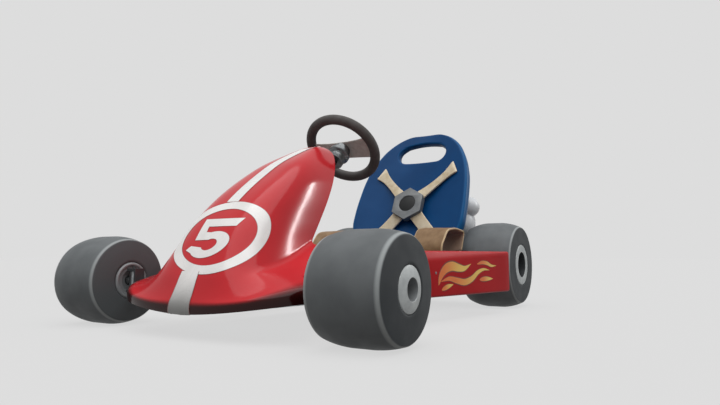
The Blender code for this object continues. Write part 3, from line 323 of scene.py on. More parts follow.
tyre_rubber = finish(
    "dusty_rubber", "696D6F", "616567", 0.060, 0.0022, 0.00008, (0.60, 0.72), Specular_IOR_Level=0.3
)
tinted(tyre_rubber, "sidewall", "303437")
# A painted highlight on the shoulders, then painted light on the inboard sidewalls.
tinted(tyre_rubber, "shoulder_highlight", "9DA2A3", 0.1, 1.0)
tinted(tyre_rubber, "inboard_light", "565A5C")
for side, sign in SIDES:
    for end, x, y, bore, radius, *rest in TYRES:
        profile, masks = tyre_profile(bore, radius, *rest)
        centre = (sign * x, y, radius)
        name = f"{end}_slick_{side}"
        tyre = lathe(name, profile, centre, (sign, 0, 0), tyre_rubber, 112, **masks)
        place(tyre, wheel_body(end, side), "tyre_rubber", f"{end}_tyre_{side}")

# Wheel hubs. Cast aluminium bowls, blasted to an even satin grey, with a lathe-cut
# chamfer round the rim and a bore for the axle nut whose darkness is painted shade.
cast_wheel = finish(
    "blasted_aluminium", "C2C7C7", "B0B5B6", 0.02, 0.0014, 0.00005, (0.46, 0.60), Metallic=0.15
)
# Painted shade: the bores are darkened, the rear hubs' deep bores almost to black.
tinted(cast_wheel, "bore", "8E9294")
tinted(cast_wheel, "deep", "303336")
tinted(cast_wheel, "back", "8A8E90")
SEAT_GAP = 0.0009
FRONT_HUB = (
    (0.0245, 0.1060), (0.0500, 0.0995), (FRONT_BORE - SEAT_GAP, 0.0970),
    (FRONT_BORE - SEAT_GAP, -0.0985), (0.0475, -0.1030), (0.0430, -0.1030), (0.0395, -0.0985),
    (0.0300, -0.0985), (0.0290, -0.0885), (0.0136, -0.0885), (0.0130, -0.0800),
    (0.0088, -0.0790), (0.0088, 0.0500), (0.0245, 0.0500),
)
REAR_HUB = (
    (0.0480, 0.1010), (0.0755, 0.1010), (REAR_BORE - SEAT_GAP, 0.0985),
    (REAR_BORE - SEAT_GAP, -0.0985), (0.0720, -0.1000), (0.0660, -0.1000), (0.0600, -0.0800),
    (0.0300, -0.0700), (0.0300, -0.0950), (0.0168, -0.0950), (0.0168, 0.0200), (0.0480, 0.0300),
)
HUBS = (
    ("front", FRONT_X, FRONT_AXLE_Y, FRONT_RADIUS, FRONT_HUB),
    ("rear", REAR_X, REAR_AXLE_Y, REAR_RADIUS, REAR_HUB),
)
for side, sign in SIDES:
    for end, x, y, height, corners in HUBS:
        mouth, face = corners[0]
        profile = rounded(corners, 0.0014, 4, closed=True)
        radius, along = profile.T
        in_bore = (radius < mouth + 0.0004) & (along < face - 0.0008) & (along > 0)
        hub = lathe(
            f"{end}_hub_{side}", profile, (sign * x, y, height), (sign, 0, 0), cast_wheel, 80,
            bore=in_bore & (end == "front"), deep=in_bore & (end == "rear"), back=along < 0,
        )
        place(hub, wheel_body(end, side), "wheel_alloy", f"{end}_wheel_hub_{side}")


# Nose cowl. One glass-fibre moulding in red gel coat, 4 mm thick: a rolled lip, an apron
# and a tall hood over the steering column, with notches trimmed out for the axle and
# the steering arms. Polished gel coat: deep gloss, with painted shade darkening the lip.
def aft(distance):
    """The y of a place this far behind the front axle."""
    return FRONT_AXLE_Y + distance


def spline_values(knots, values, at):
    """A smooth curve through knots: cubic pieces whose slopes follow their neighbours."""
    knots, values, at = (np.asarray(item, float) for item in (knots, values, at))
    slopes = np.gradient(values, knots)
    here = np.clip(np.searchsorted(knots, at) - 1, 0, len(knots) - 2)
    width = knots[here + 1] - knots[here]
    t = (at - knots[here]) / width
    rise = values[here + 1] - values[here]
    lower, upper = slopes[here] * width, slopes[here + 1] * width
    square = t**2 * (3 * rise - 2 * lower - upper)
    return values[here] + t * lower + square + t**3 * (lower + upper - 2 * rise)


def sweep(start, end, count):
    """Evenly spaced angles from start to end, given in degrees and returned in radians."""
    return np.radians(np.linspace(start, end, count))


def evenly(x, y, count):
    """A dense curve's places, as fractions of its index, spaced evenly by length."""
    length = np.concatenate([[0], np.cumsum(np.hypot(np.diff(x), np.diff(y)))])
    return np.interp(np.linspace(0, length[-1], count), length, np.arange(len(x)))


def modify(made, kind, **settings):
    """Adds one modifier and applies it, so that the mesh is final."""
    change = made.modifiers.new(kind.lower(), kind)
    for name, value in settings.items():
        setattr(change, name, value)
    graph = bpy.context.evaluated_depsgraph_get()
    mesh = bpy.data.meshes.new_from_object(made.evaluated_get(graph))
    made.modifiers.clear()
    made.data = mesh


def carve(made, tool, operation="DIFFERENCE"):
    """Cuts a helper body out of a piece, or joins it on, and throws the helper away."""
    modify(made, "BOOLEAN", operation=operation, solver="EXACT", object=tool)
    bpy.data.objects.remove(tool)


def cut(made, low, high):
    """Trims a box, given by two corners, out of a piece."""
    low, high = Vector(low), Vector(high)
    mesh = bpy.data.meshes.new("trim")
    shape = bmesh.new()
    size = Matrix.Translation((low + high) / 2) @ Matrix.Diagonal((*(high - low), 1))
    bmesh.ops.create_cube(shape, size=1, matrix=size)
    shape.to_mesh(mesh)
    shape.free()
    carve(made, stand("trim", mesh))


def creased(made, degrees):
    """Shades a piece smooth, but for edges that bend by more than so many degrees."""
    made.data.shade_smooth()
    made.data.set_sharp_from_angle(angle=math.radians(degrees))


def soften(rows, row, spread, times):
    """Rounds a crease between rows: each pass moves a point half-way to its neighbours' middle.

    The move fades away from the crease as a bell curve, `spread` rows wide for each column.
    """
    away = np.arange(len(rows))[:, None] - row
    share = np.exp(-((away / spread) ** 2))[1:-1, :, None] * 0.5
    for _ in range(times):
        middle = (rows[:-2] + rows[2:]) / 2
        rows = np.concatenate([rows[:1], rows[1:-1] + (middle - rows[1:-1]) * share, rows[-1:]])
    return rows


LIP_HALF, LIP_DEPTH, LIP_CENTRE, LIP_POWER, LIP_END = 0.312, 0.1765, 0.0514, 2.9, 0.160
LIP_TOP, LIP_TOP_RISE, LIP_TOP_POWER, LIP_TOP_SWEEP = 0.0862, 0.0417, 2.8, 0.010
LIP_LOW, LIP_LOW_RISE, LIP_LOW_POWER, LIP_LEAN, LIP_BELLY = 0.0584, 0.0316, 1.58, 0.004, 0.0016
CREASE_PLACES, CREASE_HEIGHTS = (0, 0.35, 0.62, 0.80, 1), (0.150, 0.157, 0.167, 0.186, 0.231)
APRON_PLACES, APRON_BENDS = (0, 0.4, 0.65, 1), (1.0, 1.5, 1.1, 0.42)
HOOD_POWER = 4.29
HOOD_LEVELS = (0.150, 0.220, 0.290, 0.360, 0.420, 0.470, 0.520)
HOOD_FRONT = (-0.0975, -0.0555, -0.0033, 0.0691, 0.1490, 0.2273, 0.3318)
HOOD_REAR = (0.1121, 0.1788, 0.2402, 0.2991, 0.3498, 0.3934, 0.4395)
HOOD_HALF = (0.1747, 0.1535, 0.1413, 0.1289, 0.1114, 0.0876, 0.0519)
DOME_MIDDLE, DOME_TOP = 0.430, 0.548
HALF_COLUMNS, LIP_ROWS, APRON_ROWS, HOOD_ROWS, DOME_ROWS = 61, 6, 22, 54, 14
SHELL = 0.004


def hood_size(heights):
    """The hood's half width and its section's front and rear places, at each height."""
    return [spline_values(HOOD_LEVELS, knots, heights) for knots in (HOOD_HALF, HOOD_FRONT, HOOD_REAR)]


def cowl_grid():
    """Rows from the lip's lower edge to the hood's top, and columns from its right to its left.

    The lip's plan is a squared ellipse that ends in a straight, the hood's is a squarer one
    whose size follows its height, and the apron is ruled between them with a bent rise. The
    dome's plan shrinks to a point as it rises: straight in front, as a parabola at its sides.
    """
    along = np.linspace(0, 1, HALF_COLUMNS)
    angle = sweep(0, 90, 400)
    x = np.append(LIP_HALF * np.sin(angle) ** (2 / LIP_POWER), LIP_HALF)
    y = np.append(LIP_CENTRE - LIP_DEPTH * np.cos(angle) ** (2 / LIP_POWER), LIP_END)
    at, places = evenly(x, y, HALF_COLUMNS), np.arange(len(x))
    lip_x, lip_y = np.interp(at, places, x), np.interp(at, places, y)
    share = lip_x / LIP_HALF
    straight = np.clip((lip_y - LIP_CENTRE) / (LIP_END - LIP_CENTRE), 0, 1)
    lip_top = LIP_TOP + LIP_TOP_RISE * share**LIP_TOP_POWER + LIP_TOP_SWEEP * straight
    lip_low = LIP_LOW + LIP_LOW_RISE * share**LIP_LOW_POWER

    crease = spline_values(CREASE_PLACES, CREASE_HEIGHTS, along)
    rise = np.linspace(0, 1, HOOD_ROWS)[:, None]
    heights = crease + (HOOD_LEVELS[-1] - crease) * rise
    width, front, rear = hood_size(heights)
    plan_x = np.sin(angle) ** (2 / HOOD_POWER)
    plan_y = 1 - np.cos(angle) ** (2 / HOOD_POWER)
    depth = (rear[0] - front[0]).mean() / width[0].mean()
    at = evenly(plan_x, plan_y * depth, HALF_COLUMNS)
    plan_x, plan_y = (np.interp(at, np.arange(len(angle)), plan) for plan in (plan_x, plan_y))
    hood = np.stack([width * plan_x, front + (rear - front) * plan_y, heights], axis=-1)

    band = np.linspace(0, 1, LIP_ROWS)[:-1, None]
    belly = LIP_BELLY * np.sin(math.pi * band)
    lip = (
        lip_x - LIP_LEAN * share * (1 - band) + belly * share,
        lip_y + 0 * band - belly * (1 - share),
        lip_low + (lip_top - lip_low) * band,
    )
    v = np.linspace(0, 1, APRON_ROWS)[:-1, None]
    bend = spline_values(APRON_PLACES, APRON_BENDS, along)
    apron = (
        lip_x + (hood[0, :, 0] - lip_x) * v,
        lip_y + (hood[0, :, 1] - lip_y) * v,
        lip_top + (crease - lip_top) * v**bend,
    )
    shrunk = np.linspace(1, 0, DOME_ROWS + 1)[1:, None]
    top = hood[-1]
    bow = np.clip(1.2 * top[:, 0] / top[-1, 0], 0, 1)
    dome = (
        top[:, 0] * shrunk,
        DOME_MIDDLE + (top[:, 1] - DOME_MIDDLE) * shrunk,
        top[:, 2] + (DOME_TOP - top[:, 2]) * (1 - shrunk) * (1 + bow * shrunk),
    )
    lip, apron, dome = (np.stack(part, axis=-1) for part in (lip, apron, dome))
    half = np.concatenate([lip, apron, hood, dome])
    # The lip's top, the hood's foot, tight at its sides and wide in front, and the dome's edge.
    half = soften(half, len(lip), 1.8 + 0 * along, 8)
    half = soften(half, len(lip) + len(apron), 0.6 + 9 * np.clip(1 - along / 0.5, 0, 1) ** 1.5, 12)
    half = soften(half, len(half) - DOME_ROWS - 1, 6 + 0 * along, 12)
    half[..., 1] += FRONT_AXLE_Y
    other = half[:, :0:-1] * (-1, 1, 1)
    return np.concatenate([other, half], axis=1)


gel_coat = finish(
    "polished_gel_coat", "CC2A31", "C3262D", 0.16, 0.010, 0.00001, (0.13, 0.17),
    Coat_Weight=0.12, Coat_Roughness=0.09, Specular_IOR_Level=0.16,
)
# Painted shade: a dark red-brown laid over the lip and the apron's foot.
tinted(gel_coat, "grime", "300A09")
cowl = cowl_grid()
# Painted shade darkens the lip and fades over a few rows of the apron, more of them at its sides.
SHADE_ROW, SHADE_ROWS, SIDE_ROWS, SIDE_START, SIDE_BLEND = 3.4, 3.6, 8, 0.20, 0.11
rows_up = np.arange(len(cowl))[:, None]
sideways = np.clip((np.abs(cowl[..., 0]) - SIDE_START) / SIDE_BLEND, 0, 1)
grime = 1 - np.clip((rows_up - SHADE_ROW) / (SHADE_ROWS + SIDE_ROWS * sideways), 0, 1)
nose = piece(
    "nose_cowl_shell", cowl, grid_faces(*cowl.shape[:2]), gel_coat,
    inside=(0, aft(0.20), 0.20), grime=grime,
)
modify(nose, "SOLIDIFY", thickness=SHELL, offset=-1, use_quality_normals=True)
# The notches, for the axle and for a steering arm: their inner side, and their front and rear.
NOTCHES = ((0.281, -0.0165, 0.026), (0.250, 0.025, 0.1485))
NOTCH_LOW, NOTCH_HIGH, NOTCH_OUT = 0.040, 0.150, 0.345
for _, sign in SIDES:
    for inner, ahead, behind in NOTCHES:
        near, far = sorted((sign * inner, sign * NOTCH_OUT))
        cut(nose, (near, aft(ahead), NOTCH_LOW), (far, aft(behind), NOTCH_HIGH))
creased(nose, 50)
place(nose, "chassis", "red_bodywork", "nose_cowl")


# Livery on the cowl. Cut white vinyl, pressed on after polishing: a stripe down the
# middle, an oval ring and a plain racing numeral, each with a thin painted shadow along its edges.
def decal(name, points, material, facing, **masks):
    """A thin sheet over a grid of points that looks towards `facing`; its long sides are `edge`."""
    rows, columns = points.shape[:2]
    behind = points.reshape(-1, 3).mean(axis=0) - 10 * np.asarray(facing)
    edge = np.tile(np.abs(np.linspace(-1, 1, columns)), rows)
    return piece(name, points, grid_faces(rows, columns), material, behind, edge=edge, **masks)


white_vinyl = finish(
    "white_vinyl", "F4F2F0", "E8E6E4", 0.05, 0.004, 0.00001, (0.24, 0.34), Coat_Weight=0.3
)
# Painted shade: the lower stripe greys towards its foot.
tinted(white_vinyl, "grime", "848482")
# Painted shade: a dark line along every vinyl piece's edges, as a thin shadow.
tinted(white_vinyl, "edge", "8A5A58", 0.90, 1.0)


def pressed_on(name, points, facing, lift, **masks):
    """White vinyl that hangs close to the cowl, pressed on to it and standing `lift` proud."""
    sheet = decal(name, points, white_vinyl, facing, **masks)
    modify(
        sheet, "SHRINKWRAP", target=nose, wrap_method="NEAREST_SURFACEPOINT",
        wrap_mode="ABOVE_SURFACE", offset=lift,
    )
    sheet.data.shade_smooth()
    place(sheet, "chassis", "red_bodywork")


def heading(line, axis=0):
    """The unit direction of travel at each point of a line."""
    slope = np.gradient(line, axis=axis)
    return slope / np.linalg.norm(slope, axis=-1)[..., None]


STRIPES = (("stripe_lower", 0.0, 0.161), ("stripe_upper", 0.333, 0.5440))
STRIPE_LEVELS = (0.055, 0.145, 0.340, 0.435, 0.560)
STRIPE_WIDTHS = (0.078, 0.063, 0.0430, 0.0415, 0.036)
STRIPE_SHADE_TOP, STRIPE_SHADE_FADE = 0.150, 0.085
STRIPE_LIFT, VINYL_LIFT = 0.0010, 0.0007
RING_MIDDLE, RING_TILT = (0.0255, 0.245), math.radians(-5)
RING_OUTER, RING_INNER = (0.150, 0.0925), (0.113, 0.0715)


def wrapped(s, z):
    """Points on the hood at height z, s along its section from the middle, positive to the left.

    The section is cowl_grid's squared ellipse. Its length is summed step by step and then
    read backwards, so that a flat pattern goes round the hood's corners without stretching.
    """
    s, z = np.broadcast_arrays(s, z)
    angle = sweep(0, 90, 500)
    half, front, rear = (value[..., None] for value in hood_size(z))
    x = half * np.sin(angle) ** (2 / HOOD_POWER)
    y = front + (rear - front) * (1 - np.cos(angle) ** (2 / HOOD_POWER))
    gone = np.cumsum(np.hypot(np.diff(x), np.diff(y)), axis=-1)
    gone = np.concatenate([0 * gone[..., :1], gone], axis=-1)
    here = np.clip((gone < np.abs(s)[..., None]).sum(axis=-1), 1, len(angle) - 1)[..., None]
    ends = [
        [np.take_along_axis(value, here + step, -1)[..., 0] for step in (-1, 0)]
        for value in (gone, x, y)
    ]
    share = (np.abs(s) - ends[0][0]) / (ends[0][1] - ends[0][0])
    x, y = (low + (high - low) * share for low, high in ends[1:])
    return np.stack([np.sign(s) * x, aft(y), z], axis=-1)


middle = cowl[:, HALF_COLUMNS - 1]
slope = heading(middle)
ahead = np.stack([0 * slope[:, 0], -slope[:, 2], slope[:, 1]], axis=1)
across = np.linspace(-1, 1, 13)
for name, low, high in STRIPES:
    chosen = (middle[:, 2] >= low) & (middle[:, 2] <= high)
    line = middle[chosen] + STRIPE_LIFT * ahead[chosen]
    half = spline_values(STRIPE_LEVELS, STRIPE_WIDTHS, middle[chosen, 2])[:, None] / 2
    points = line[:, None] + (half * across)[..., None] * (1, 0, 0)
    # Painted shade: the stripe greys towards its lower end, below the hood's foot.
    stripe_shade = np.clip((STRIPE_SHADE_TOP - points[..., 2]) / STRIPE_SHADE_FADE, 0, 1)
    pressed_on(name, points, (0, -1, 0.5), STRIPE_LIFT, grime=stripe_shade)

round_ring = sweep(0, 360, 145)[:, None]
across = np.linspace(0, 1, 7)[None, :]
reach_x = RING_INNER[0] + (RING_OUTER[0] - RING_INNER[0]) * across
reach_z = RING_INNER[1] + (RING_OUTER[1] - RING_INNER[1]) * across
flat_x, flat_z = reach_x * np.cos(round_ring), reach_z * np.sin(round_ring)
ring_s = RING_MIDDLE[0] + flat_x * math.cos(RING_TILT) - flat_z * math.sin(RING_TILT)
ring_z = RING_MIDDLE[1] + flat_x * math.sin(RING_TILT) + flat_z * math.cos(RING_TILT)
pressed_on("number_ring", wrapped(ring_s, ring_z), (0, -1, 0), VINYL_LIFT)


def arc(centre, radius, start, end, count):
    """Points on an arc, or on an ellipse's where radius is two numbers. Angles in degrees."""
    angle = sweep(start, end, count)
    return np.asarray(centre) + np.stack([np.cos(angle), np.sin(angle)], axis=1) * radius


def stepped(corners, legs):
    """Points along an outline, each leg between two corners cut into its own number of steps."""
    ends = [
        start + (end - start) * np.linspace(0, 1, steps, endpoint=False)[:, None]
        for start, end, steps in zip(corners[:-1], corners[1:], legs)
    ]
    return np.concatenate([*ends, corners[-1:]])


# The numeral is ruled between two outlines with matching corners: its bar, its neck, an
# elliptical bowl and the bowl's tip. They are drawn in a square that is then sized and slanted.
NUMERAL_LEFT, NUMERAL_LOW, NUMERAL_SIZE, NUMERAL_SLANT = -0.0802, 0.190, (0.151, 0.101), 0.16
BOWL, BOWL_POINTS = (0.60, 0.335), 30
OUTLINES = (
    ((0.943, 1), (0.075, 1), (0.20, 0.44), ((0.150, 0.140), 125, -150), (0.21, 0.30)),
    ((0.90, 0.79), (0.30, 0.79), (0.34, 0.655), ((0.395, 0.335), 112, -140), (0.144, 0.19)),
)
LEGS = (12, 8, 4) + (1,) * (BOWL_POINTS - 1) + (4,)
outer_side, inner_side = (
    stepped(np.concatenate([corners, arc(BOWL, *bowl, BOWL_POINTS), [tip]]), LEGS)
    for *corners, bowl, tip in OUTLINES
)
across = np.linspace(0, 1, 9)[None, :, None]
flat = outer_side[:, None] + (inner_side - outer_side)[:, None] * across
numeral_s = NUMERAL_LEFT + NUMERAL_SIZE[0] * (flat[..., 0] + NUMERAL_SLANT * flat[..., 1])
numeral_z = NUMERAL_LOW + NUMERAL_SIZE[1] * flat[..., 1]
pressed_on("racing_numeral", wrapped(numeral_s, numeral_z), (0, -1, 0), VINYL_LIFT)

# Side pods. Glass-fibre boxes in a deeper, less polished red, open towards the rails. The
# walls stand further out towards the back, under a chamfer that narrows as it goes.
POD_FRONT, POD_REAR, POD_LOW, POD_HIGH = 0.184, 0.958, 0.073, 0.212
POD_OUT, POD_OUT_AT, POD_FLARE = 0.296, 0.190, 0.200
POD_CHAMFER, POD_CHAMFER_LOSS, POD_UNDER, POD_TOP = 0.040, 0.033, 0.060, 0.068


def pod_outer(distance):
    """How far out a pod's wall stands: it flares towards the back."""
    return POD_OUT + POD_FLARE * (distance - POD_OUT_AT)


def pod_section(distance, inset):
    """A pod's open outline at one place, drawn in by `inset` on every side near its ends."""
    share = (distance - POD_FRONT) / (POD_REAR - POD_FRONT)
    chamfer = POD_CHAMFER - POD_CHAMFER_LOSS * share
    out = pod_outer(distance) - inset
    low, high = POD_LOW + inset, POD_HIGH - inset
    corners = [
        (out - POD_UNDER, low), (out, low), (out, high - chamfer), (out - 0.35 * chamfer, high),
        (out - POD_TOP, high),
    ]
    return rounded(corners, (0, 0.008, 0.010, 0.006, 0), 6)


def loft(name, rings, material, closed=True, inside=None, **masks):
    """A skin through rings of points, closed or open round about, with a cap at both ends."""
    index = np.arange(rings.shape[0] * rings.shape[1]).reshape(rings.shape[:2])
    faces = grid_faces(*rings.shape[:2], wrap_columns=closed).tolist()
    faces += [index[0].tolist(), index[-1].tolist()]
    return piece(name, rings, faces, material, inside, **masks)


gel_coat_pod = finish(
    "moulded_gel_coat", "C0181F", "B4161D", 0.14, 0.010, 0.00002, (0.36, 0.44),
    Specular_IOR_Level=0.1,
)
END_ROUND = 0.006
swing = sweep(0, 90, 5)
short, inset = END_ROUND * (1 - np.sin(swing)), END_ROUND * (1 - np.cos(swing))
straight = np.linspace(POD_FRONT + END_ROUND, POD_REAR - END_ROUND, 30)[1:-1]
places = np.concatenate([POD_FRONT + short[::-1], straight, POD_REAR - short])
insets = np.concatenate([inset[::-1], 0 * straight, inset])
sections = np.array([pod_section(*row) for row in zip(places, insets)])
back = aft(places[:, None] + 0 * sections[..., 0])
for side, sign in SIDES:
    rings = np.stack([sign * sections[..., 0], back, sections[..., 1]], axis=-1)
    middle = (sign * 0.26, aft(0.57), 0.14)
    pod = loft(f"pod_shell_{side}", rings, gel_coat_pod, closed=False, inside=middle)
    modify(pod, "SOLIDIFY", thickness=SHELL, offset=-1, use_quality_normals=True)
    creased(pod, 50)
    place(pod, "chassis", "red_bodywork", f"side_pod_{side}")

# Flames on the pods. Printed vinyl in a plain hot-rod manner: licks that run back from
# orange-red to yellow tips inside a dark red keyline, drawn here from their own curves.
flame_vinyl = finish("flame_vinyl", "F4822E", "EE7428", 0.03, 0.004, 0.00001, (0.30, 0.40))
tinted(flame_vinyl, "tip", "FFD466", 0.20, 0.80)
tinted(flame_vinyl, "edge", "74201A", 0.74, 0.84)
screw_steel = finish("zinc_screw", "8C8586", "6F696A", 0.004, 0.0006, 0.00002, (0.3, 0.5))
FLAMES = (
    (((0.538, 0.108), (0.553, 0.139), (0.577, 0.158), (0.609, 0.165), (0.641, 0.160),
      (0.674, 0.157), (0.714, 0.171)), 0.0180, 0.42),
    (((0.550, 0.119), (0.592, 0.127), (0.634, 0.120), (0.678, 0.114), (0.719, 0.124),
      (0.755, 0.144), (0.785, 0.152), (0.826, 0.149)), 0.0125, 0.45),
    (((0.748, 0.170), (0.783, 0.175), (0.810, 0.172), (0.835, 0.164), (0.868, 0.164)), 0.0078, 0.40),
    (((0.762, 0.119), (0.799, 0.121), (0.845, 0.120)), 0.0095, 0.38),
    (((0.553, 0.094), (0.584, 0.103), (0.614, 0.109)), 0.0090, 0.40),
)
FLAME_ROWS, FLAME_COLUMNS, FLAME_LIFT, FLAME_STACK = 40, 9, 0.0003, 0.00012
SCREW_BACK, SCREW_UP = 0.5265, 0.1456
SCREW_HEAD = ((0.0, 0.0012), (0.0035, 0.0012), (0.0040, 0.0))


def smooth_line(knots, count):
    """Places along one smooth curve through given points."""
    knots = np.asarray(knots, float)
    length = np.concatenate([[0], np.cumsum(np.linalg.norm(np.diff(knots, axis=0), axis=1))])
    at = np.linspace(0, length[-1], count)
    return np.stack([spline_values(length, column, at) for column in knots.T], axis=1)


def lick(knots, half, peak):
    """A flame: a line with a width that swells to its peak and thins to a point at both ends."""
    line = smooth_line(knots, FLAME_ROWS)
    slope = heading(line)
    s = np.linspace(0, 1, FLAME_ROWS)
    power = peak / (1 - peak)
    swell = (s**power * (1 - s)) / (peak**power * (1 - peak))
    side = np.stack([-slope[:, 1], slope[:, 0]], axis=1)
    spread = (half * np.maximum(swell, 0.02))[:, None] * np.linspace(-1, 1, FLAME_COLUMNS)
    return line[:, None] + side[:, None] * spread[..., None]


tip = np.repeat(np.linspace(0, 1, FLAME_ROWS), FLAME_COLUMNS)
screw = rounded(SCREW_HEAD, 0.0008, 4)
for side, sign in SIDES:
    for number, curve in enumerate(FLAMES, 1):
        back, up = np.moveaxis(lick(*curve), -1, 0)
        out = pod_outer(back) + FLAME_LIFT + FLAME_STACK * number
        points = np.stack([sign * out, aft(back), up], axis=-1)
        flame = decal(f"flame_{number}_{side}", points, flame_vinyl, (sign, 0, 0), tip=tip)
        place(flame, "chassis", "red_bodywork")
    centre = (sign * pod_outer(SCREW_BACK), aft(SCREW_BACK), SCREW_UP)
    head = lathe(f"pod_screw_{side}", screw, centre, (sign, -0.2, 0), screw_steel, 24, closed=False)
    place(head, "chassis", "plain_steel")

# Seat. One rotationally moulded polyethylene bucket in blue, with a broad rolled rim and
# a carrying hole whose mouth is rounded front and back. The skin is finely leathery.
SEAT_RECLINE, SEAT_HALF, SEAT_WRAP, SEAT_THICK = math.radians(24.5), 0.244, 0.038, 0.050
SEAT_ORIGIN = (1.0897, 0.414)
PAN_HALF, PAN_END, PAN_WRAP, PAN_WALL, PAN_THICK = 0.220, 0.9, 0.012, 0.018, 0.012
BACK_START, BACK_BLEND, THIN_START, THIN_BLEND, THINNER = 0.160, 0.120, 0.52, 0.10, 0.018
RIM_ROUND, SEAT_TIP, SEAT_ROWS = 0.014, 0.012, 150
SEAT_PATH = (
    (0.700, 0.172), (0.745, 0.152), (0.850, 0.143), (0.925, 0.151), (0.972, 0.181),
    (1.000, 0.222), (1.0286, 0.280), (1.0897, 0.414), (1.1590, 0.566), (1.2364, 0.7360),
)
SEAT_WIDTHS = (
    (0.170, 0.220), (0.220, 0.222), (0.250, 0.230), (0.280, 0.241), (0.315, 0.252),
    (0.360, 0.254), (0.440, 0.250), (0.526, 0.238), (0.576, 0.223), (0.622, 0.201), (0.662, 0.175),
    (0.692, 0.145), (0.710, 0.120), (0.722, 0.095), (0.730, 0.069), (0.7345, 0.042),
    (0.7362, 0.016),
)
SEAT_NORMAL = np.array([0, -math.cos(SEAT_RECLINE), math.sin(SEAT_RECLINE)])


def seat_front(x, up):
    """Points on the seat back's front face, wrapped forward at its sides; up is along the slope."""
    forward = SEAT_WRAP * (x / SEAT_HALF) ** 2
    y = SEAT_ORIGIN[0] + up * math.sin(SEAT_RECLINE) - forward * math.cos(SEAT_RECLINE)
    z = SEAT_ORIGIN[1] + up * math.cos(SEAT_RECLINE) + forward * math.sin(SEAT_RECLINE)
    return np.stack(np.broadcast_arrays(x, aft(y), z), axis=-1)


def seat_loops():
    """A closed section at each place along the seat's path: front face, round rim and back face.

    The places crowd together towards the path's ends. The front face lifts towards the sides as
    the square of the place across, and in the pan also as its fourth power. The rim is half of
    an ellipse between the two faces. Also returned is how near each point is to the rim's roll.
    """
    fine = smooth_line(SEAT_PATH, 600)
    t = np.linspace(0, 1, SEAT_ROWS)
    crowded = (t - 0.8 * np.sin(2 * math.pi * t) / (2 * math.pi)) * (len(fine) - 1)
    path = np.stack([np.interp(crowded, np.arange(len(fine)), column) for column in fine.T], axis=1)
    tangent = heading(path)
    normal = np.stack([-tangent[:, 1], tangent[:, 0]], axis=1)
    y, z = path.T
    behind = y > PAN_END
    back = np.where(behind, np.clip((z - BACK_START) / BACK_BLEND, 0, 1), 0)
    levels, widths = np.transpose(SEAT_WIDTHS)
    half = np.where(behind, spline_values(levels, widths, np.maximum(z, levels[0])), PAN_HALF)
    wrap = PAN_WRAP + (SEAT_WRAP - PAN_WRAP) * back
    wall = PAN_WALL * (1 - back)
    thinner = THINNER * np.clip((z - THIN_START) / THIN_BLEND, 0, 1)
    thick = PAN_THICK + (SEAT_THICK - PAN_THICK) * back - thinner

    rim = np.minimum(np.minimum(0.5 * thick, RIM_ROUND), 0.8 * half)
    step = np.linalg.norm(np.diff(path, axis=0), axis=1)
    gone = np.concatenate([[0], np.cumsum(step)])
    end = np.clip(np.minimum(gone, gone[-1] - gone) / SEAT_TIP, 0, 1)[:, None]
    bluff = np.sqrt(1 - (1 - end) ** 2)
    angle = sweep(-90, 90, 11)
    flat = np.linspace(-1, 1, 41)[1:-1]
    face = np.ones(len(flat))
    half, rim, wrap, wall, thick = (value[:, None] for value in (half, rim, wrap, wall, thick))
    right = half - rim + rim * np.cos(angle)
    across = np.concatenate([(half - rim) * flat, right, (half - rim) * flat[::-1], -right], axis=1)
    swing = np.concatenate([face, -np.sin(angle), -face, np.sin(angle)])
    lift = wrap * (np.abs(across) / SEAT_HALF) ** 2 + wall * np.abs(across / half) ** 4
    depth = lift - 0.5 * thick + 0.5 * thick * swing * bluff
    y = aft(y)[:, None] + normal[:, :1] * depth
    z = z[:, None] + normal[:, 1:] * depth
    # Nearness to the rim's roll, where the finish paints a paler blue highlight.
    rolled = np.clip((np.abs(across) - half + 1.5 * rim) / rim, 0, 1)
    rolled = np.maximum(rolled, 1 - end) * (swing > -0.8)
    return np.stack([across, y, z], axis=-1), rolled


def outline_cutter(name, outline, levels, offsets, material):
    """A body through an outline on the seat's front face, widened by an offset at each level."""
    ahead = np.roll(outline, -1, axis=0) - np.roll(outline, 1, axis=0)
    ahead /= np.linalg.norm(ahead, axis=1)[:, None]
    away = np.stack([ahead[:, 1], -ahead[:, 0]], axis=1)
    rings = [
        seat_front(*(outline + away * offset).T) + SEAT_NORMAL * level
        for level, offset in zip(levels, offsets)
    ]
    return loft(name, np.array(rings), material)


seat_plastic = finish(
    "rotomoulded_polyethylene", "074479", "063E70", 0.12, 0.0030, 0.00006, (0.34, 0.44),
    Specular_IOR_Level=0.12,
)
# Painted highlight: a paler blue on the rim's roll and at the seat's ends.
tinted(seat_plastic, "rolled", "10588E", 0.35, 1.0)
loops, rolled = seat_loops()
seat = loft("bucket_seat", loops, seat_plastic, rolled=rolled)
HOLE_SIDE, HOLE_UP, HOLE_CORNER, HOLE_BASE = 0.071, 0.247, 0.040, 0.060
HOLE_ARCH_UP, HOLE_ARCH = 0.046, 0.258
HOLE_ROUND, HOLE_DEEP = 0.008, 0.032
FRONT_CLEAR, FRONT_FLARE, BACK_CLEAR, BACK_FLARE = 0.030, 0.030, 0.110, 0.060
hole = np.concatenate(
    [
        arc((HOLE_SIDE, HOLE_UP), HOLE_CORNER, -90, 60, 16)[:-1],
        arc((0, HOLE_ARCH_UP), HOLE_ARCH, 72, 108, 18),
        arc((-HOLE_SIDE, HOLE_UP), HOLE_CORNER, 120, 270, 16)[1:],
        np.linspace((-HOLE_BASE, HOLE_UP - HOLE_CORNER), (HOLE_BASE, HOLE_UP - HOLE_CORNER), 11),
    ]
)
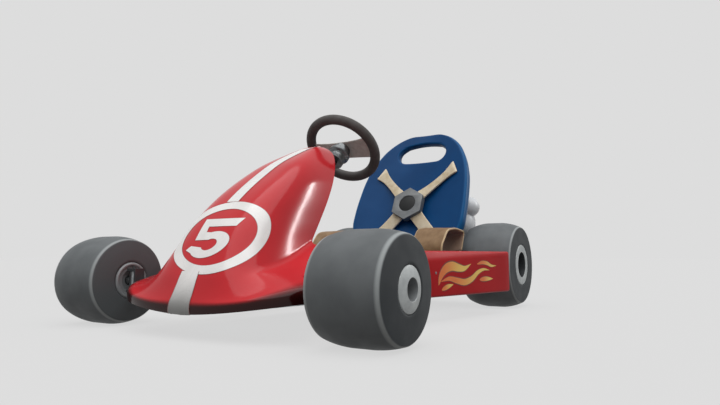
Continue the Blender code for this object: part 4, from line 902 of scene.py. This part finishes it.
# The cutter is rounded at both faces of the seat and flares on past them until it is clear.
swing = sweep(0, 90, 7)
mouth = HOLE_ROUND * (1 - np.sin(swing))
sink = HOLE_ROUND * (1 - np.cos(swing))
levels = [FRONT_CLEAR, *-sink, *(sink[::-1] - HOLE_DEEP), -BACK_CLEAR]
offsets = [HOLE_ROUND + FRONT_FLARE, *mouth, *mouth[::-1], HOLE_ROUND + BACK_FLARE]
carve(seat, outline_cutter("hole_cutter", hole, levels, offsets, seat_plastic))
creased(seat, 42)
place(seat, "chassis", "seat_blue", "seat_shell")


# Harness. Four moulded leather arms laid on the seat back, meeting in a six-sided alloy
# buckle with a black release button. The arms are pale hide, thick, waisted, and flared
# to square ends, with a painted highlight along the edge all round.
def banded(lines, normals, halves, thick, sides, edge_round, end_round):
    """A strap: a rounded oblong carried along a line, shrinking to a rounded end at each tip.

    lines and normals are the strap's middle and its outward way, sides its way across, and
    halves its half width at each place. Returns the rings and how near each point is an edge.
    """
    place_along = np.arange(len(lines))
    step = np.minimum(place_along, place_along[::-1])
    shrink = end_round * (1 - np.sqrt(1 - (1 - np.clip(step / 4, 0, 1)) ** 2))[:, None]
    across, high = [], []
    for right, up, start in ((1, 1, 0), (-1, 1, 90), (-1, -1, 180), (1, -1, 270)):
        swing = sweep(start, start + 90, 5)
        across.append(right * (halves - edge_round)[:, None] + edge_round * np.cos(swing))
        high.append(up * (0.5 * thick - edge_round) + edge_round * np.sin(swing))
    halves = halves[:, None]
    across = np.concatenate(across, axis=1) * (1 - shrink / halves)
    high = np.concatenate(high) * (1 - shrink / (0.5 * thick))
    rings = lines[:, None] + sides[:, None] * across[..., None] + normals[:, None] * high[..., None]
    edge = np.clip(np.abs(across) / halves, 0, 1)
    # The painted highlight at the edge also takes in the six rows next to each tip.
    tips = np.clip(1 - step / 6, 0, 1)[:, None]
    return rings, np.where(tips > 0, np.maximum(edge, 0.85 + 0.15 * tips), edge)


BUCKLE_UP = -0.020


def over_seat(x, up, lift):
    """Points standing off the seat back's front face, up and across from the buckle's middle."""
    return seat_front(x, up + BUCKLE_UP) + SEAT_NORMAL * np.asarray(lift)[..., None]


pale_hide = finish("pale_hide", "D6C8AE", "C4B18E", 0.022, 0.0030, 0.00012, (0.56, 0.72))
# A painted highlight: paler hide along each arm's edges and tips.
tinted(pale_hide, "edge", "E8D8BC", 0.84, 1.0)
# An arm starts under the buckle, 22 % of the way to its end. It is lowest at its end and
# rises towards the buckle, as the 1.5th power of the way back. The end is cut on a slant.
ARM_THICK, ARM_EDGE, ARM_TIP, ARM_SLANT = 0.0085, 0.0026, 0.003, 0.32
ARM_START, ARM_ROWS, ARM_GAP, ARM_RISE = 0.22, 52, 0.0016, 0.030
ARM_PLACES = (0.20, 0.40, 0.60, 0.80, 0.92, 1.0)
UPPER_ARM = (0.0255, 0.0195, 0.0170, 0.0190, 0.0250, 0.0315)
LOWER_ARM = (0.0275, 0.0265, 0.0258, 0.0262, 0.0270, 0.0280)
ARMS = (
    ("upper_left", 0.178, 0.174, UPPER_ARM), ("upper_right", -0.170, 0.168, UPPER_ARM),
    ("lower_left", 0.122, -0.140, LOWER_ARM), ("lower_right", -0.122, -0.140, LOWER_ARM),
)
for name, end_x, end_up, widths in ARMS:
    length = math.hypot(end_x, end_up)
    t = np.linspace(ARM_START, 1, ARM_ROWS)
    half = spline_values(ARM_PLACES, widths, t)
    low = ARM_GAP + ARM_RISE * (1 - t) ** 1.5 + 0.5 * ARM_THICK
    x, up = end_x * t, end_up * t
    lines = over_seat(x, up, low)
    # The way across the arm, by a small step to its side over the seat's face.
    turn = math.copysign(0.01, end_x) / length
    side = over_seat(x - turn * end_up, up + turn * end_x, low) - lines
    side /= np.linalg.norm(side, axis=1)[:, None]
    ahead = heading(lines)
    side += ahead * (math.copysign(ARM_SLANT, end_up) * t**6)[:, None]
    out = np.cross(ahead, side)
    out /= np.linalg.norm(out, axis=1)[:, None]
    out *= np.sign(out @ SEAT_NORMAL)[:, None]
    rings, edge = banded(lines, out, half, ARM_THICK, side, ARM_EDGE, ARM_TIP)
    arm = loft(f"harness_arm_{name}", rings, pale_hide, edge=edge)
    place(arm, "chassis", "harness_webbing", f"harness_{name}")

cast_buckle = finish(
    "tumbled_zinc", "787B7C", "6D7073", 0.022, 0.0012, 0.00003, (0.38, 0.52), Metallic=0.2
)
dress("buckle_body", cast_buckle, 0.0042)
NODES["buckle_body"].modifiers["edges"].segments = 3
button_plastic = finish(
    "black_button", "101213", "161819", 0.02, 0.0012, 0.00002, (0.50, 0.62), Specular_IOR_Level=0.3
)
dress("buckle_button", button_plastic, 0.0012)

# Thigh bands. Broad straps of tan saddle leather over each leg, held to the pan's edge
# and to the seat back. The flesh side is paler and greyer, partly its own tone and partly
# painted light that lifts the shade under the band, and a painted highlight runs along each rim.
THIGH_INNER, BAND_THICK, BAND_SLANT, BAND_CUT = 0.138, 0.007, 0.030, 0.0025
PAN_LEVEL, PAN_PLACE = 0.1490, 0.772
BAND_FOOT, BAND_LIFT, BAND_GAP, PALE_EDGE = 0.0015, 0.004, 0.0045, 0.006
THIGH_ARCH = (
    (0.773, 0.225), (0.800, 0.260), (0.824, 0.2835), (0.871, 0.2940), (0.936, 0.2920),
)
THIGH_TAIL = (0.262, 0.240, 0.216, 0.194)


def band_line(x, outer):
    """The band's path this far from the middle; its inner side stands further back than its outer.

    It rises from the pan, arches over the leg, and turns down along the seat back's face,
    whose path it follows at the back's own lift and 4.5 mm more.
    """
    inner = (outer - x) / (outer - THIGH_INNER)
    pan = PAN_LEVEL + PAN_WRAP * (x / SEAT_HALF) ** 2 + PAN_WALL * (x / PAN_HALF) ** 4
    points = [(PAN_PLACE + BAND_SLANT * inner, pan + BAND_FOOT)]
    points += [(d + BAND_SLANT * inner, z + BAND_LIFT * inner) for d, z in THIGH_ARCH]
    face = smooth_line(SEAT_PATH, 400)
    slope = heading(face)
    for level in THIGH_TAIL:
        at = np.argmin(np.abs(face[:, 1] - level) + (face[:, 0] < PAN_END))
        share = np.clip((level - BACK_START) / BACK_BLEND, 0, 1)
        wrap = PAN_WRAP + (SEAT_WRAP - PAN_WRAP) * share
        lift = wrap * (x / SEAT_HALF) ** 2 + PAN_WALL * (1 - share) + BAND_GAP
        points.append((face[at, 0] - slope[at, 1] * lift, face[at, 1] + slope[at, 0] * lift))
    return smooth_line(points, 64)


saddle_leather = finish("saddle_leather", "8A6B46", "795B3B", 0.028, 0.0026, 0.00012, (0.50, 0.68))
# The flesh side is lightened partly as painted light against its shade; the paler rim is a painted
# highlight.
tinted(saddle_leather, "flesh", "A88C78")
tinted(saddle_leather, "edge", "C2A881", 0.5, 1.0)
for side, sign, outer in (("left", LEFT, 0.275), ("right", RIGHT, 0.295)):
    swing = sweep(0, 180, 7)
    flat = np.linspace(outer - BAND_CUT, THIGH_INNER + BAND_CUT, 15)[1:-1]
    cut_out = outer - BAND_CUT + BAND_CUT * np.sin(swing)
    cut_in = THIGH_INNER + BAND_CUT - BAND_CUT * np.sin(swing)
    face = np.ones(len(flat))
    x = np.concatenate([cut_out, flat, cut_in, flat[::-1]])
    high = np.concatenate([-np.cos(swing), face, np.cos(swing), -face]) * 0.5 * BAND_THICK
    lines = np.array([band_line(value, outer) for value in x])
    slope = heading(lines, axis=1)
    y = aft(lines[..., 0] - high[:, None] * slope[..., 1])
    z = lines[..., 1] + high[:, None] * slope[..., 0]
    rings = np.stack([sign * x[:, None] + 0 * y, y, z], axis=-1).transpose(1, 0, 2)
    flesh = np.broadcast_to(high < -0.49 * BAND_THICK, rings.shape[:2])
    rim = (x > outer - PALE_EDGE) | (x < THIGH_INNER + PALE_EDGE)
    edge = np.broadcast_to(rim & (high > -0.45 * BAND_THICK), rings.shape[:2])
    band = loft(f"thigh_band_{side}", rings, saddle_leather, flesh=flesh, edge=edge)
    place(band, "chassis", "thigh_leather", f"thigh_strap_{side}")

# Steering wheel. A steel hoop under a moulded rubber grip, a pressed spoke plate and a
# turned hub whose steps catch the light; the shaft below is blacked steel.
STEERING_CENTRE = np.array([0, aft(0.566), 0.564])
TILT = math.radians(45)
COLUMN = np.array([0, math.cos(TILT), math.sin(TILT)])
RIM_RADIUS, GRIP_RADIUS = 0.1196, 0.0168
grip_rubber = finish(
    "moulded_grip", "646160", "5B5856", 0.03, 0.0020, 0.00010, (0.52, 0.68), Specular_IOR_Level=0.1
)
swing = sweep(0, 360, 25)[:-1]
section = np.stack([RIM_RADIUS + GRIP_RADIUS * np.cos(swing), GRIP_RADIUS * np.sin(swing)], axis=1)
rim = lathe("grip_hoop", section, STEERING_CENTRE, COLUMN, grip_rubber, 112)
place(rim, "steering", "steering_grip", "steering_rim")

pressed_steel = finish("pressed_spoke", "E6E1DB", "D2CCC5", 0.014, 0.0012, 0.00004, (0.34, 0.50))
# The plate's section is flat with round edges and a bead near each. It is carried across the
# hoop, as wide as the two curves leave between them, and its ends follow the hoop's circle.
SPOKE_REACH, SPOKE_THICK, SPOKE_FLAT = 0.1038, 0.0050, 0.94
BEAD_HIGH, BEAD_PLACE, BEAD_WIDE = 0.0012, 0.84, 0.07
SPOKE_PLACES, SPOKE_LOW = (0, 0.03, 0.07, 0.11), (0.0385, 0.0400, 0.0425, 0.0460)
SPOKE_HIGH = (0.0270, 0.0275, 0.0300, 0.0345)
ACROSS = np.array([0, math.sin(TILT), -math.cos(TILT)])
swing = sweep(0, 180, 7)
bulge = (1 - SPOKE_FLAT) * np.sin(swing)[1:-1]
u = np.concatenate([np.linspace(SPOKE_FLAT, -SPOKE_FLAT, 25), -SPOKE_FLAT - bulge])
u = np.concatenate([u, -u])
level = np.concatenate([np.full(25, 0.5), 0.5 * np.cos(swing)[1:-1]])
level = np.concatenate([level, -level]) * SPOKE_THICK
level += np.sign(level) * BEAD_HIGH * np.exp(-(((np.abs(u) - BEAD_PLACE) / BEAD_WIDE) ** 2))
x = np.linspace(-1, 1, 61)[:, None] * SPOKE_REACH
low = spline_values(SPOKE_PLACES, SPOKE_LOW, np.abs(x))
high = spline_values(SPOKE_PLACES, SPOKE_HIGH, np.abs(x))
v = 0.5 * (low - high) + 0.5 * (low + high) * u
x = x * np.sqrt(np.clip(1 - (v / SPOKE_REACH) ** 2, 0, 1))
rings = STEERING_CENTRE + x[..., None] * (1, 0, 0) + v[..., None] * ACROSS + level[:, None] * COLUMN
spokes = loft("spoke_plate", rings, pressed_steel)
place(spokes, "steering", "steering_spoke", "steering_spokes")
turned_steel = finish(
    "turned_hub", "7C7F80", "646769", 0.016, 0.0010, 0.00002, (0.26, 0.40), Metallic=0.75
)
HUB_STEPS = (
    (0.0, 0.0095), (0.0190, 0.0095), (0.0220, 0.0028), (0.0120, 0.0028), (0.0120, -0.0028),
    (0.0290, -0.0028), (0.0270, -0.0220), (0.0370, -0.0250), (0.0370, -0.0390),
    (0.0270, -0.0450), (0.0300, -0.0520), (0.0300, -0.0740), (0.0, -0.0740),
)
hub = lathe(
    "steering_boss", rounded(HUB_STEPS, 0.0022, 5), STEERING_CENTRE, COLUMN, turned_steel, 64,
    closed=False,
)
place(hub, "steering", "plain_steel", "steering_hub")
blacked_steel = finish(
    "blacked_steel", "1E2021", "2A2D2E", 0.02, 0.0010, 0.00002, (0.35, 0.5), Metallic=0.5
)
dress("steering_shaft", blacked_steel, 0.0006)

# Intake silencer. A blow-moulded white shell of two round lobes pushed on to the
# engine's intake, semi-gloss and faintly bluish.
silencer_shell = finish(
    "blown_polypropylene", "F2F5F8", "E6EAEE", 0.05, 0.0030, 0.00004, (0.32, 0.44)
)


def lobe(name, centre, radii, material):
    """An egg-shaped shell: a sphere's grid stretched along each axis."""
    around, down = sweep(0, 360, 65)[None, :-1], sweep(0, 180, 33)[:, None]
    ball = np.stack(
        [np.sin(down) * np.cos(around), np.sin(down) * np.sin(around), np.cos(down) + 0 * around], -1
    )
    points = np.asarray(centre) + ball * np.asarray(radii)
    return piece(name, points, grid_faces(33, 64, wrap_columns=True), material)


INTAKE_Y, INTAKE_Z = aft(1.238), 0.300
silencer = lobe("silencer_shell", (0.1495, INTAKE_Y, 0.338), (0.066, 0.066, 0.070), silencer_shell)
cap = lobe("silencer_upper", (0.188, INTAKE_Y, 0.403), (0.0485, 0.046, 0.044), silencer_shell)
carve(silencer, cap, "UNION")
port = rounded([(0.0, 0.03), (0.0203, 0.03), (0.0203, -0.03), (0.0, -0.03)], 0.0)
inlet = lathe("inlet", port, (0.070, INTAKE_Y, INTAKE_Z), (1, 0, 0), silencer_shell, 40, closed=False)
carve(silencer, inlet)
creased(silencer, 30)
place(silencer, "chassis", "silencer_white", "intake_silencer")

# Engine and exhaust. A sand-cast aluminium block and finned barrel, left raw and
# finely pitted, with a rolled steel silencer can browned by heat behind it.
sand_cast = finish(
    "sand_cast_aluminium", "A9ABAB", "8B8E8F", 0.012, 0.0018, 0.00016, (0.48, 0.66), Metallic=0.6
)
dress("engine_block", sand_cast, 0.0012)
heated_steel = finish(
    "heat_browned_steel", "8B8681", "6B5D52", 0.030, 0.0012, 0.00004, (0.30, 0.48), Metallic=0.85
)
dress("muffler", heated_steel, 0.0012)
plug_cap = finish("ribbed_rubber", "1C1D1F", "262829", 0.008, 0.0012, 0.00008, (0.5, 0.65))
dress("spark_plug", plug_cap, 0.0006)

# Roller chain. Hardened steel links, blued and oiled, mottled at half of the chain's
# 9.5 mm pitch so that the loop reads as dark gaps between worn plates.
chain_steel = finish(
    "oiled_chain", "6A625B", "3E3935", 0.0048, 0.0020, 0.00040, (0.30, 0.46), Metallic=0.85
)
dress("drive_chain", chain_steel, 0.0006)

# Fuel tank. Blow-moulded natural polyethylene, milky, so that the fuel inside warms it.
natural_poly = finish(
    "natural_polyethylene", "DAD6C6", "CFC8B2", 0.06, 0.0030, 0.00006, (0.36, 0.48),
    Subsurface_Weight=0.1, Subsurface_Radius=(0.02, 0.015, 0.01),
)
dress("fuel_tank", natural_poly)

# Control cables. Steel inner wires in black plastic sheaths, clipped along the rails.
cable_sheath = finish("pvc_sheath", "191A1B", "232526", 0.02, 0.0020, 0.00010, (0.40, 0.52))
dress("throttle_cable brake_cable", cable_sheath)

# The room: a pale seamless floor and sky, a broad soft light overhead and a narrow leaning
# strip behind the kart's left side that draws the long highlight down the hood's flank.
PAPER = "DDDDDD"
SKY_LEVEL, GROUND_LEVEL, SHADOW_SHARE = 0.30, 0.27, 0.14


def glowing(tree, kind, code, strength):
    """A shader that gives off one colour at a strength."""
    return add_node(tree, kind, {"Color": linear(code), "Strength": strength}).outputs[0]


def room_material(tree, output, shown, felt):
    """Shows one shader to the camera and to reflections, and another to diffuse light."""
    path = add_node(tree, "LightPath").outputs
    seen = path["Is Camera Ray"]
    for ray in ("Is Glossy Ray", "Is Transmission Ray"):
        seen = add_node(tree, "Math", {0: seen, 1: path[ray]}, operation="MAXIMUM").outputs[0]
    mixed = add_node(tree, "MixShader", {0: seen, 1: felt, 2: shown})
    tree.links.new(mixed.outputs[0], output.inputs["Surface"])


world = bpy.data.worlds.new("studio")
bpy.context.scene.world = world
world.use_nodes = True
tree = world.node_tree
tree.nodes.clear()
output = add_node(tree, "OutputWorld")
shown = glowing(tree, "Background", PAPER, 1.0)
felt = glowing(tree, "Background", "FFFFFF", SKY_LEVEL)
room_material(tree, output, shown, felt)

paper = bpy.data.materials.new("paper_floor")
paper.use_nodes = True
tree = paper.node_tree
tree.nodes.clear()
output = add_node(tree, "OutputMaterial")
glow = glowing(tree, "Emission", PAPER, 1 - SHADOW_SHARE)
matt = add_node(tree, "BsdfDiffuse", {"Color": (0.10, 0.10, 0.10, 1)}).outputs[0]
shown = add_node(tree, "AddShader", {0: glow, 1: matt}).outputs[0]
felt = glowing(tree, "Emission", "C8C2BE", GROUND_LEVEL)
room_material(tree, output, shown, felt)
mesh = bpy.data.meshes.new("floor")
mesh.from_pydata([(-60, -60, 0), (60, -60, 0), (60, 60, 0), (-60, 60, 0)], [], [(0, 1, 2, 3)])
mesh.materials.append(paper)
floor = stand("floor", mesh)


def lamp(name, kind, where, target, power, roll=0.0, **settings):
    """A light that looks from a place towards a target, rolled about its own beam."""
    light = bpy.data.lights.new(name, kind)
    light.energy = power
    for key, value in settings.items():
        setattr(light, key, value)
    made = stand(name, light)
    made.location = where
    aim = (Vector(target) - Vector(where)).to_track_quat("-Z", "Y")
    made.rotation_euler = (aim @ Quaternion((0, 0, 1), roll)).to_euler()
    return made


lamp("overhead", "SUN", (0.5, -0.7, 3.0), (0, 0, 0), 2.45, angle=math.radians(80))
strip = lamp(
    "strip", "AREA", (1.73, 1.74, 1.38), (0.13, -0.43, 0.32), 17, math.radians(-34),
    shape="RECTANGLE", size=0.09, size_y=1.15,
)
strip.visible_diffuse = False

# The camera stands low at the kart's front left, where the photograph was taken.
CAMERA_PLACE = (1.093546, -1.663382, 0.193486)
CAMERA_YAW, CAMERA_PITCH, CAMERA_LENS = 0.560976, 0.094143, 28.81
camera = stand("camera", bpy.data.cameras.new("camera"))
camera.data.lens = CAMERA_LENS
camera.data.sensor_width = 36
camera.location = CAMERA_PLACE
camera.rotation_euler = (math.pi / 2 + CAMERA_PITCH, 0, CAMERA_YAW)
bpy.context.scene.camera = camera
bpy.context.scene.view_settings.view_transform = "Standard"
